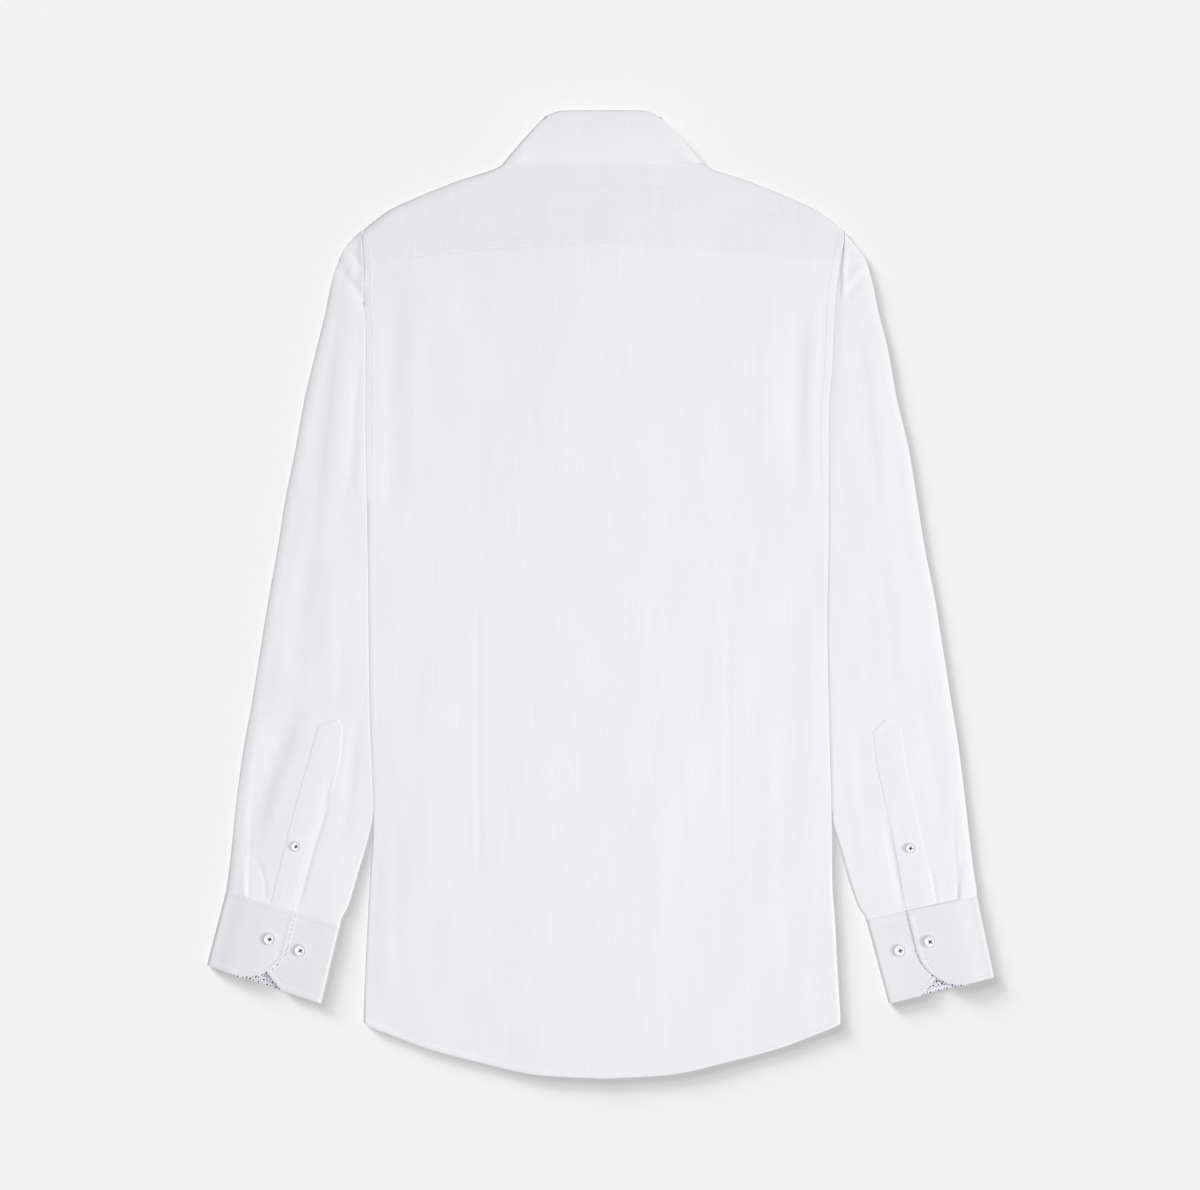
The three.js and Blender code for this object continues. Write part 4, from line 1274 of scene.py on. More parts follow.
    @staticmethod
    def front(side: Side) -> Sheet:
        """Makes the lower surface of a front.

        Args:
            side: Which one.

        Returns:
            The surface.
        """
        share = spread(700.0, 14.0, [(0.0, 10.0, 4.0)]) / 700.0
        side_top = float(Outline.shoulder(212.0)) - 8.0 - YOKE_TURN
        side_y = between(SIDE_HEM_Y, side_top, share)
        inset = np.where(side_y <= UNDERARM_Y, 11.5, SEAM_GAP)
        edge = Outline.sides[side](side_y) - inset
        columns = []
        for u in np.linspace(1.0, 0.0, 34):
            distance = between(-OVERLAP, edge, u)
            x = side.sign * distance
            near = np.abs(distance)
            shoulder = Outline.shoulder(near) - YOKE_TURN - SEAM_GAP
            seam = np.where(near < NECK_HALF, Outline.front_neck(near), shoulder)
            y = between(Outline.front_hem(near), seam, share)
            columns.append((x, y, front_height(side, x, y)))
        points = stack(columns)
        return Sheet(points, flat_grain(points), flip=side is Side.RIGHT)

    def build(self, shop: Workshop) -> list[bpy.types.Object]:
        """Makes the four pieces.

        Args:
            shop: Where they are made.

        Returns:
            The upper pieces.
        """
        back = shop.cloth("back_panel", self.back(), CLOTH, Cut(0.442, 0.735, 0.307))
        # The yoke takes the darker copy of the cloth, as painted shade.
        yoke = shop.cloth("yoke", self.yoke(), CLOTH, Cut(0.428, 0.112, 0.0365), Use.SHADED_YOKE)
        for side in Side:
            front = self.front(side)
            shop.cloth(f"front_{side.value}", front, CLOTH, Cut(0.222, 0.745, 0.148))
        return [back, yoke]


# The sleeves


@dataclass(frozen=True)
class Sleeve:
    """A whole sleeve: two layers of cloth with rounded edges.

    Attributes:
        side: Which one.
        outer_round: How far in the rounding of its outer edge starts.
        inner_round: The same on the inner edge.
        crown: How much higher its middle is.
    """

    side: Side
    outer_round: float = 9.0
    inner_round: float = 3.2
    crown: float = 0.6

    def sections(self) -> tuple[np.ndarray, np.ndarray]:
        """Returns the inner and the outer end of each section, from the shoulder to the cuff."""
        cuff = CUFFS[self.side]
        inner_rows = [(i, inner) for i, (inner, _) in enumerate(SLEEVE_SECTIONS)]
        outer_rows = [(i, outer) for i, (_, outer) in enumerate(SLEEVE_SECTIONS)]
        last = len(SLEEVE_SECTIONS)
        inner_y = Curve([*inner_rows, (last, cuff.inner_top[1] - 1.0)])
        outer_y = Curve([*outer_rows, (last, cuff.outer_top[1] - 1.0)])
        coarse = np.linspace(0, last, 400)
        run = np.interp(spread(600.0, 4.6, [(0.0, 30.0, 1.6), (600.0, 40.0, 2.2)]), [0, 600], [0, 1])
        drop = (inner_y(coarse) - inner_y(0)) / (inner_y(last) - inner_y(0))
        at = np.interp(run, drop, coarse)
        y_in, y_out = inner_y(at), outer_y(at)
        x_in = Outline.inner_edge(self.side, y_in)
        x_out = Outline.sleeve_outside[self.side](y_out)
        ease = smooth((at - last + 1) / 1.0)
        x_in = between(x_in, between(x_in, abs(cuff.inner_top[0]), ease), ease)
        x_out = between(x_out, between(x_out, abs(cuff.outer_top[0]), ease), ease)
        sign = self.side.sign
        return np.stack([sign * x_in, y_in], axis=-1), np.stack([sign * x_out, y_out], axis=-1)

    def sheet(self) -> Sheet:
        """Returns the sleeve's outer surface."""
        inner, outer = self.sections()
        width = np.linalg.norm(inner - outer, axis=1)
        is_joined = (inner[:, 1] > UNDERARM_Y).astype(float)
        round_out = np.minimum(self.outer_round, 0.45 * width)
        round_in = side_round(self.side, self.inner_round, inner[:, 1], 60)
        from_cuff = np.linalg.norm(inner - inner[-1], axis=1)

        def place(distance: np.ndarray | float) -> tuple[np.ndarray, np.ndarray]:
            """Returns points at a distance in from the outer end of every section."""
            x = between(outer[:, 0], inner[:, 0], distance / width)
            return x, between(outer[:, 1], inner[:, 1], distance / width)

        def height(distance: np.ndarray | float) -> np.ndarray:
            """Returns the height of the upper cloth there."""
            x, y = place(distance)
            bulge = np.sin(np.pi * np.clip(distance / width, 0, 1)) * smooth(width / 60)
            at_seam = 0.15 * is_joined * np.exp(-(((width - distance) / 2.5) ** 2))
            on_lap = smooth((distance / width - 0.45) / 0.2)
            raised = 0.9 * smooth(1 - from_cuff / 28.0) * (1 - on_lap)
            cloth = top_height(x, y) + self.crown * bulge * smooth(from_cuff / 40) + raised - at_seam
            return np.minimum(cloth, between(6.9, 4.8, on_lap) + 0.7 * from_cuff)

        columns = []
        held = smooth((inner[:, 1] + 200) / 14) * (1 - is_joined)
        for past, drop, held_past, dip in ((3.5, 1.3, 0.45, 1.0), (1.0, 1.1, 0.2, 0.7)):
            tucked = round_in + is_joined * past + held * held_past
            tucked = between(0.01 * past, tucked, is_joined + held)
            fall = drop * is_joined + dip * HELD_DIP[self.side] * held
            columns.append((*place(width - round_in + tucked), height(width - round_in) - fall))
        fine = [(24.0, 14.0, 1.1)]
        for share in spread(100.0, 1.9, fine)[::-1] / 100.0:
            distance = between(round_out, width - round_in, share)
            columns.append((*place(distance), height(distance)))
        for inset, z in EDGE.upper(round_out, height(round_out)):
            columns.append((*place(inset), z))
        for inset, z in EDGE.lower():
            columns.append((*place(np.minimum(inset, round_out)), z))
        for share in np.linspace(0.0, 1.0, 14)[1:]:
            start = np.minimum(EDGE.under_width, round_out)
            columns.append((*place(between(start, width - np.minimum(round_in, 4.0), share)), 0.0))
        first_inner = len(columns) - 1
        for inset, z in reversed(EDGE.lower()[:-1]):
            columns.append((*place(width - inset), z))
        top = height(width - round_in)
        lower_top = (top - 1.1 - EDGE.middle) / (top - EDGE.middle)
        for inset, z in reversed(EDGE.upper(round_in, top)):
            z = EDGE.middle + (z - EDGE.middle) * between(1.0, lower_top, held)
            columns.append((*place(width - inset * (1 - held)), z))
        points = stack(columns)
        keep = np.ones((len(width) - 1, len(columns)), bool)
        keep[is_joined[:-1] > 0, first_inner:] = False
        turn = self.side.sign * math.radians(6.5)
        return Sheet(points, flat_grain(points, turn), keep, closed=True, flip=self.side is Side.RIGHT)

    def build(self, shop: Workshop) -> bpy.types.Object:
        """Returns the sleeve, made in the shop."""
        node = f"sleeve_{self.side.value}"
        return shop.cloth(node, self.sheet(), CLOTH, Cut(0.252, 0.6, 0.105))


@dataclass(frozen=True)
class SleevePlacket:
    """The pointed strip over the slit of a sleeve.

    Attributes:
        side: Which sleeve.
        stitched: Its sewn edge, from the top down to the cuff.
        free: Its free edge.
        peak: The tip of its pointed top.
        lift: How much thicker it is than the sleeve.
        wall: How thick its cloth is.
    """

    side: Side
    stitched: tuple[Point, ...]
    free: tuple[Point, ...]
    peak: Point
    lift: float = 0.5
    wall: float = 0.45

    def edges(self, along: np.ndarray) -> tuple[np.ndarray, np.ndarray]:
        """Reads both long edges.

        Args:
            along: Shares from the top to the cuff.

        Returns:
            The points of the sewn and of the free edge.
        """
        lines = []
        for path in (self.stitched, self.free):
            place = np.linspace(0, 1, len(path))
            xs = Curve(list(zip(place, [p[0] for p in path])))(along)
            ys = Curve(list(zip(place, [p[1] for p in path])))(along)
            lines.append(np.stack([xs, ys], axis=-1))
        return lines[0], lines[1]

    def sheet(self, ground: Ground) -> Sheet:
        """Lays the strip on its sleeve.

        Args:
            ground: The sleeve.

        Returns:
            Its outer surface.
        """
        along = spread(170.0, 3.4, [(0.0, 12.0, 1.3)]) / 170.0
        sewn, free = self.edges(along)
        across = spread(22.0, 1.5, [(0.0, 3.0, 0.6), (22.0, 3.0, 0.6)]) / 22.0
        base, end = sewn[0], free[0]
        tip = float(np.dot(np.array(self.peak) - base, end - base) / np.dot(end - base, end - base))
        foot = base + (end - base) * tip
        rise = np.array(self.peak) - foot
        grid = []
        for start, stop, share in zip(sewn, free, along):
            row = []
            for u in across:
                point = start + (stop - start) * u
                point = point + rise * (u / tip if u < tip else (1 - u) / (1 - tip)) * max(0.0, 1 - share * 9)
                row.append(point)
            grid.append(row)
        flat = np.array(grid)
        heights = np.array([[ground.height(*point) for point in row] for row in flat])
        strip = np.linalg.norm(free - sewn, axis=1)[:, None]
        from_edge = np.minimum(across, 1 - across)[None, :] * strip
        rounded = 0.2 * np.exp(-((from_edge / 0.8) ** 2))
        groove = 0.12 * np.exp(-(((from_edge - 2.0) / 0.7) ** 2))
        points = np.concatenate([flat, (heights + self.lift - rounded - groove)[..., None]], axis=-1)
        turn = self.side.sign * math.radians(9)
        return Sheet(points, flat_grain(points, turn), flip=self.side is Side.LEFT)

    def build(self, shop: Workshop, ground: Ground) -> bpy.types.Object:
        """Returns the strip, laid on its sleeve."""
        cut = Cut(0.0245, 0.171, rests_on=(f"sleeve_{self.side.value}_cloth",))
        return shop.cloth(f"sleeve_placket_{self.side.value}", self.sheet(ground), self.wall, cut)


# The cuffs


@dataclass(frozen=True)
class CuffShape:
    """The corners of a cuff as it lies, and where its two ends are.

    Attributes:
        outer_top: The corner on the outer side, at the sleeve.
        inner_top: The corner on the inner side, at the sleeve.
        outer_bottom: The corner on the outer side, at the hand.
        inner_bottom: The corner on the inner side, at the hand.
        flap_end: The flap's end, as a share of the way in from the outer side.
        underlap_end: The same for the underlap.
    """

    outer_top: Point
    inner_top: Point
    outer_bottom: Point
    inner_bottom: Point
    flap_end: float
    underlap_end: float

    @property
    def width(self) -> float:
        """Returns its width at the sleeve."""
        return float(np.linalg.norm(np.subtract(self.inner_top, self.outer_top)))

    @property
    def depth(self) -> float:
        """Returns its depth on the outer side."""
        return float(np.linalg.norm(np.subtract(self.outer_bottom, self.outer_top)))

    def ends(self, across: float) -> tuple[np.ndarray, np.ndarray]:
        """Finds the two ends of a line down the cuff.

        Args:
            across: How far in from the outer side.

        Returns:
            Its points at the sleeve and at the hand.
        """
        share = across / self.width
        top_out, top_in = np.array(self.outer_top), np.array(self.inner_top)
        low_out, low_in = np.array(self.outer_bottom), np.array(self.inner_bottom)
        return top_out + (top_in - top_out) * share, low_out + (low_in - low_out) * share

    def place(self, across: float, down: float) -> np.ndarray:
        """Returns the point at a distance in from the outer side and down from the sleeve."""
        top, low = self.ends(across)
        return top + (low - top) * (down / self.depth)


CUFFS = {
    Side.LEFT: CuffShape((-330.9, -260), (-231, -291.7), (-348, -325.6), (-247.3, -359.5), 0.61, 0.25),
    Side.RIGHT: CuffShape((329.1, -265.3), (231.4, -286.4), (344.1, -336.2), (251.2, -359.5), 0.63, 0.27),
}


@dataclass(frozen=True)
class Cuff:
    """A barrel cuff with its flap over its underlap, and the printed facing inside it.

    Attributes:
        side: Which one.
        flap_corner: The radius of the flap's corner.
        mitre: How long the underlap's cut corner is, and how steep.
        over_sleeve: How far it reaches over the sleeve's end.
    """

    side: Side
    flap_corner: float = 40.0
    mitre: Point = (42.0, 0.66)
    over_sleeve: float = 0.5

    FLOOR_MID = 0.55
    UNDERLAP_MID = 5.5
    FLAP_MID = 7.7
    FLAP_FOLD_MID = 6.2

    @staticmethod
    def corner(from_end: np.ndarray, radius: float) -> np.ndarray:
        """Returns how much a round corner takes off, by the distance from the end."""
        inside = np.clip(radius - from_end, 0.0, radius)
        return radius - np.sqrt(radius**2 - inside**2)

    def sheet(self, beyond: float = 0.0) -> Sheet:
        """Lays out the middle of the cuff's wall, from its flap's end round to its underlap's end.

        Args:
            beyond: How far past the cuff's own ends and lower edge it reaches.

        Returns:
            The middle surface.
        """
        shape = CUFFS[self.side]
        width, depth = shape.width, shape.depth
        out_radius = (self.FLAP_FOLD_MID - self.FLOOR_MID) / 2
        in_radius = (self.UNDERLAP_MID - self.FLOOR_MID) / 2
        room = out_radius + CUFF_CLOTH / 2
        columns: list[tuple[float, float, float, float, float]] = []

        end_steps = [self.flap_corner * (1 - math.cos(t)) for t in arc(0, 90, 22)]
        flap = shape.flap_end * width
        flap_steps = [*end_steps, *np.linspace(self.flap_corner, flap - room, 9)[1:]]
        for step in flap_steps:
            across = flap - step
            laid = float(smooth((across / width - 0.05) / 0.16))
            reach = across + beyond * max(0.0, 1 - step / 12)
            z = between(self.FLAP_FOLD_MID, self.FLAP_MID, laid) + self.end_sag(step)
            cut = float(self.corner(step, self.flap_corner))
            peek = beyond * float(smooth((self.flap_corner + 4 - step) / 10))
            columns.append((reach, z, cut, step, peek))
        for turn in arc(80, -80, 9):
            z = self.FLOOR_MID + out_radius * (1 + math.sin(turn))
            columns.append((room - out_radius * math.cos(turn), z, 0.0, 99.0, 0.0))
        for across in np.linspace(room, width - room, 16):
            columns.append((across, self.FLOOR_MID, 0.0, 99.0, 0.0))
        for turn in arc(-80, 80, 9):
            z = self.FLOOR_MID + in_radius * (1 + math.sin(turn))
            columns.append((width - room + in_radius * math.cos(turn), z, 0.0, 99.0, 0.0))
        under = (1 - shape.underlap_end) * width
        long, steep = self.mitre
        for step in [*np.linspace(under - room, long, 12), *np.linspace(long, 0.0, 16)[1:]]:
            across = width - under + step
            columns.append((across, self.UNDERLAP_MID, steep * max(0.0, long - step), step, 0.0))

        down = spread(depth, 2.6, [(0.0, 4.0, 0.8), (depth, 8.0, 0.9)]) / depth
        grid = []
        for across, z, cut, step, peek in columns:
            top, low = shape.ends(across)
            reach = 1 - (cut - peek) / depth
            path = top + (low - top) * (down * reach - self.over_sleeve / depth * (1 - down) ** 8)[:, None]
            from_edge = np.minimum(np.minimum(down, 1 - down) * reach * depth, step)
            groove = 0.28 * np.exp(-(((from_edge - 5.0) / 1.0) ** 2))
            puff = 0.3 * np.exp(-(((from_edge - 2.4) / 1.6) ** 2))
            grid.append(np.concatenate([path, (z + self.faces_up(z) * (puff - groove))[:, None]], axis=1))
        points = np.stack(grid, axis=1)
        lengths, heights = (np.array([column[i] for column in columns]) for i in (0, 1))
        wrap = np.concatenate([[0.0], np.cumsum(np.hypot(np.diff(lengths), np.diff(heights)))])
        grain = np.stack(np.broadcast_arrays(wrap[None, :], down[:, None] * depth), axis=-1) * MM
        return Sheet(points, grain, flip=self.side is Side.RIGHT)

    def faces_up(self, z: float) -> float:
        """Returns 1 for cloth that faces up and 0 for cloth that doesn't."""
        return 1.0 if z > self.UNDERLAP_MID - 0.3 else 0.0

    @staticmethod
    def end_sag(step: float) -> float:
        """Returns how much the flap's end hangs down past the underlap."""
        return -0.9 * float(smooth(1 - step / 26))

    def build(self, shop: Workshop) -> list[bpy.types.Object]:
        """Makes the cuff and its facing.

        Args:
            shop: Where they are made.

        Returns:
            Both pieces, the cuff first.
        """
        name = self.side.value
        middle = self.sheet()
        outer = moved(middle, 0.5)
        # The cuff takes the darker copy of the cloth, as painted shade.
        cuff = shop.cloth(f"cuff_{name}", outer, CUFF_CLOTH, Cut(0.238, 0.072), Use.SHADED_CUFF)
        lining = moved(self.sheet(beyond=1.3), -0.6)
        facing = shop.cloth(f"cuff_facing_{name}", lining, 0.5, Cut(0.238, 0.072), Use.LINING)
        return [cuff, facing]


def moved(sheet: Sheet, distance: float) -> Sheet:
    """Returns the sheet, moved outwards along its normals by millimetres."""
    normals = sheet.normals(sheet.cells()).reshape(sheet.points.shape)
    return Sheet(sheet.points + normals * distance, sheet.grain, sheet.keep, sheet.closed, sheet.flip)


# The collar


# Stations round the collar from the middle of the back to its front edge: how far the leaf faces
# up, the roll's X and Y, the leaf's edge X, Y and Z, and the seam's X and Y
COLLAR_STATIONS = (
    (90, 0, 423.5, 0, 380, 7.75, 0, 390.4), (90, 20, 423.6, 30, 379.9, 7.7, 24, 390.3),
    (90, 36, 423.3, 55, 379.7, 7.4, 46, 389), (90, 45, 421.3, 80, 379.4, 6.7, 66, 384.4),
    (50, 50, 418.6, 86, 378.9, 5.8, 72, 381), (0, 51.3, 416, 87.7, 378.6, 4.2, 73.9, 379.5),
    (-50, 50.5, 413.5, 86.8, 375.8, 1.4, 73.9, 377), (-90, 47.5, 408, 84.5, 370, 0.6, 74.6, 370),
    (-90, 40, 392, 80, 340, 0.6, 74.6, 353.5), (-90, 31, 372, 77.3, 315, 0.6, 65.6, 330.3),
    (-90, 22, 353, 75, 294, 0.6, 49.7, 313.4), (-90, 13, 339.5, 72.8, 277, 0.6, 29.8, 303.4),
    (-90, 6.5, 331.5, 70.5, 264, 0.6, 13, 300.4),
)


@dataclass(frozen=True)
class CollarSide:
    """The stations of one side of the collar, as smooth curves.

    Attributes:
        side: Which side.
        at: Places between the stations, from the middle of the back.
    """

    side: Side
    at: np.ndarray

    def read(self, column: int) -> np.ndarray:
        """Returns a column of the stations, smoothed."""
        return Curve([(i, row[column]) for i, row in enumerate(COLLAR_STATIONS)])(self.at)

    def point(self, x: int, y: int, z: np.ndarray) -> np.ndarray:
        """Returns points from two columns and a height."""
        return np.stack([self.side.sign * self.read(x), self.read(y), z], axis=-1)

    def frames(self) -> dict[str, np.ndarray]:
        """Returns each station's roll, edge and seam, the way its leaf faces and its roll's radius."""
        tilt = np.radians(self.read(0))
        up = smooth((np.sin(tilt) + 1) / 2)
        roll_x, seam_x, seam_y = self.read(1), self.read(6), self.read(7)
        lower = np.maximum(SKIN + COLLAR_RISE, SKIN + front_height(self.side, roll_x, 0 * roll_x))
        upper = PANEL_TOP - SKIN + CROWN * level_then_fall(roll_x, CROWN_TO)
        low_radius = (lower - SKIN) / 2
        radius = between(low_radius, 1.4, up)
        roll_z = between(SKIN + low_radius, upper + 1.4, up)
        seam_low = SKIN + front_height(self.side, seam_x, seam_y)
        seam_high = PANEL_TOP - SKIN + CROWN * level_then_fall(seam_x, CROWN_TO)
        level = np.cos(tilt)
        sideways = np.stack([self.side.sign * 0.74 * level, 0.67 * level, np.sin(tilt)], axis=-1)
        edge = self.point(3, 4, self.read(5))
        roll = self.point(1, 2, roll_z)
        fall = edge - roll
        fall -= sideways * np.sum(fall * sideways, axis=1, keepdims=True)
        fall /= np.linalg.norm(fall, axis=1, keepdims=True)
        seam = self.point(6, 7, between(seam_low, seam_high, up))
        return {
            "roll": roll, "edge": edge, "seam": seam,
            "faces": sideways, "fall": fall, "radius": radius[:, None],
        }


@dataclass(frozen=True)
class Collar:
    """The collar's stand and its turned-down leaf.

    Attributes:
        past_roll: How far the leaf turns over its roll before its seam with the stand.
        gap: The room at that seam.
    """

    past_roll: float = 3.0
    gap: float = 2.8

    TAB = ((0, 331, 300.4), (-14, 328, 302))

    @staticmethod
    def round_the_neck(section: Callable[[CollarSide], list[np.ndarray]]) -> np.ndarray:
        """Builds a grid from one front edge round the back to the other.

        Args:
            section: Gives the points across some stations.

        Returns:
            The grid.
        """
        last = len(COLLAR_STATIONS) - 1
        at = spread(last, 0.16, [(4.5, 1.6, 0.09)])
        left = np.stack(section(CollarSide(Side.LEFT, at)), axis=1)
        right = np.stack(section(CollarSide(Side.RIGHT, at)), axis=1)
        return np.concatenate([left[::-1], right[1:]])

    def leaf_section(self, stations: CollarSide) -> list[np.ndarray]:
        """Goes over the roll and down to the leaf's edge.

        Args:
            stations: Where round the collar.

        Returns:
            The points of each station.
        """
        f = stations.frames()
        points = [f["roll"] - f["faces"] * f["radius"] + f["fall"] * self.past_roll]
        for turn in arc(-90, 90, 11):
            out, back = f["radius"] * math.sin(turn), f["radius"] * math.cos(turn)
            points.append(f["roll"] + f["faces"] * out - f["fall"] * back)
        start = points[-1]
        up = smooth(np.sin(np.radians(stations.read(0))))[:, None]
        x = stations.read(3)[:, None]
        for share in spread(46.0, 2.6, [(46.0, 8.0, 0.9)])[1:] / 46.0:
            point = start + (f["edge"] - start) * share
            bulge = 1.5 * math.sin(math.pi * share) ** 0.8 * up
            curl = 1.1 * np.exp(-(((x - 78) / 9) ** 2)) * float(smooth((share - 0.62) / 0.38)) * up
            wave = 0.35 * np.sin(x / 15 * (1 if stations.side is Side.LEFT else 1.27) + 1.0) * share * up
            groove = 0.12 * math.exp(-(((46.0 * (1 - share) - 6.0) / 1.1) ** 2))
            points.append(point + f["faces"] * (bulge + curl + wave - groove))
        return points

    def band_section(self, stations: CollarSide) -> list[np.ndarray]:
        """Goes from the neck's seam up to the roll.

        Args:
            stations: Where round the collar.

        Returns:
            The points of each station.
        """
        f = stations.frames()
        top = f["roll"] - f["faces"] * f["radius"] + f["fall"] * (self.past_roll + self.gap)
        return [f["seam"] + (top - f["seam"]) * share for share in np.linspace(0, 1, 9)]

    def tab(self, side: Side) -> np.ndarray:
        """Makes the end of the stand that carries the button or its hole.

        Args:
            side: Which end.

        Returns:
            Its rows of points, from the middle out.
        """
        z = SKIN + FRONT_RISE[side.value]
        rows = []
        for x, top_y, seam_y in self.TAB:
            seam = np.array([side.sign * x, seam_y, z])
            top = np.array([side.sign * x, top_y, z])
            rows.append([seam + (top - seam) * share for share in np.linspace(0, 1, 9)])
        return np.array(rows)

    def build(self, shop: Workshop) -> list[bpy.types.Object]:
        """Makes the leaf and the stand.

        Args:
            shop: Where they are made.

        Returns:
            Both pieces, the leaf first.
        """
        leaf_points = self.round_the_neck(self.leaf_section)
        leaf = moved(Sheet(leaf_points, self.grain(leaf_points), flip=True), 0.5)
        band_points = np.concatenate(
            [self.tab(Side.LEFT)[::-1], self.round_the_neck(self.band_section), self.tab(Side.RIGHT)]
        )
        band = moved(Sheet(band_points, self.grain(band_points)), 0.4)
        made = shop.cloth("collar_fall", leaf, 1.0, Cut(0.45, 0.07, 0.0235, held="folded"))
        stand = shop.cloth("collar_band", band, 0.9, Cut(0.44, 0.036, 0.0145, held="folded"))
        return [made, stand]

    @staticmethod
    def grain(points: np.ndarray) -> np.ndarray:
        """Lays out the collar's cloth along its own length.

        Args:
            points: The grid of points.

        Returns:
            The grid's places on the cloth, in metres.
        """
        along = np.linalg.norm(np.diff(points[:, -1], axis=0), axis=1)
        down = np.linalg.norm(np.diff(points, axis=1), axis=2)
        v = np.concatenate([np.zeros((len(points), 1)), np.cumsum(down, axis=1)], axis=1)
        u = np.concatenate([[0.0], np.cumsum(along)])[:, None] + 0 * v
        return np.stack([u, v], axis=-1) * MM


# Buttons

FRONT_BUTTON_COUNT = 7
FRONT_BUTTON_TOP_Y = 258.0
FRONT_BUTTON_PITCH = 86.0


@dataclass(frozen=True)
class Button:
    """A button with a raised rim and four holes.

    Attributes:
        node: The solid that it stands for.
        radius: In millimetres.
        height: In millimetres.
        turn: How it is turned, in degrees.
        face_down: Whether its face lies on the surface.
    """

    node: str
    radius: float = 5.6
    height: float = 2.4
    turn: float = 0.0
    face_down: bool = False

    HOLE = 0.55
    SIDES = 64

    def face(self, distance: np.ndarray) -> np.ndarray:
        """Returns the height of its face at some distances from its middle."""
        share = distance / self.radius
        rim = np.exp(-(((share - 0.86) / 0.12) ** 2))
        dish = 0.7 * self.height + 0.3 * self.height * rim
        return np.where(share > 0.9, dish - 0.5 * self.height * ((share - 0.9) / 0.1) ** 2, dish)

    def holes(self) -> list[Point]:
        """Returns the middles of its holes."""
        out = self.radius * 0.2
        return [(out * sx, out * sy) for sx in (-1, 1) for sy in (-1, 1)]

    def mesh(self) -> bpy.types.Mesh:
        """Returns its mesh in metres, about its own underside."""
        distances = np.concatenate([np.linspace(0.04, 0.36, 15), np.linspace(0.42, 1.0, 15)]) * self.radius
        turns = np.linspace(0, 2 * math.pi, self.SIDES, endpoint=False)
        x = distances[:, None] * np.cos(turns)
        y = distances[:, None] * np.sin(turns)
        z = self.face(distances)[:, None] + 0 * x
        for hx, hy in self.holes():
            z -= 1.2 * smooth((self.HOLE + 0.12 - np.hypot(x - hx, y - hy)) / 0.24)
        rings = [np.stack([x, y, z], axis=-1)]
        for share, drop in ((1.0, 0.3), (0.93, 0.08), (0.8, 0.0), (0.3, 0.0)):
            out = self.radius * share
            ring = np.stack([out * np.cos(turns), out * np.sin(turns)], axis=-1)
            rings.append(np.concatenate([ring, np.full((self.SIDES, 1), drop * self.height)], axis=1)[None])
        points = np.concatenate(rings)
        sides = self.SIDES
        numbers = np.arange(len(points) * sides).reshape(len(points), sides)
        following = np.roll(numbers, -1, axis=1)
        quads = np.stack([numbers[:-1], numbers[1:], following[1:], following[:-1]], axis=-1).reshape(-1, 4)
        faces = [tuple(map(int, quad)) for quad in quads]
        last = len(points) * sides
        faces += [tuple(range(sides)), tuple(reversed(range(last - sides, last)))]
        mesh = bpy.data.meshes.new(self.node)
        mesh.from_pydata([tuple(map(float, p * MM)) for p in points.reshape(-1, 3)], [], faces)
        mesh.polygons.foreach_set("use_smooth", np.ones(len(faces), bool))
        return mesh

    def stitches(self) -> "Threads":
        """Returns the crossed threads through its holes, about its own underside."""
        a, b, c, d = self.holes()
        top = 0.7 * self.height
        made = Threads(0.4)
        for step in (-0.22, 0.22):
            for start, end in ((a, d), (b, c)):
                made.add((start[0] + step, start[1], top), (end[0] + step, end[1], top), 0.35)
        return made

    def build(self, shop: Workshop, place: Vector) -> bpy.types.Object:
        """Makes the button and its threads.

        Args:
            shop: Where they are made.
            place: The middle of its underside in the frame, in metres.

        Returns:
            The button.
        """
        made = shop.add(f"{self.node}_shell", self.mesh(), shop.finishes.shell, [self.node], "shell_button")
        threads = self.stitches().mesh(f"{self.node}_threads", Vector((0, 0, 0)))
        sewn = shop.add(threads.name, threads, shop.finishes.dark_thread, [], None)
        for part in (made, sewn):
            part.location = place
            part.rotation_euler = (math.pi if self.face_down else 0.0, 0.0, math.radians(self.turn))
        return made


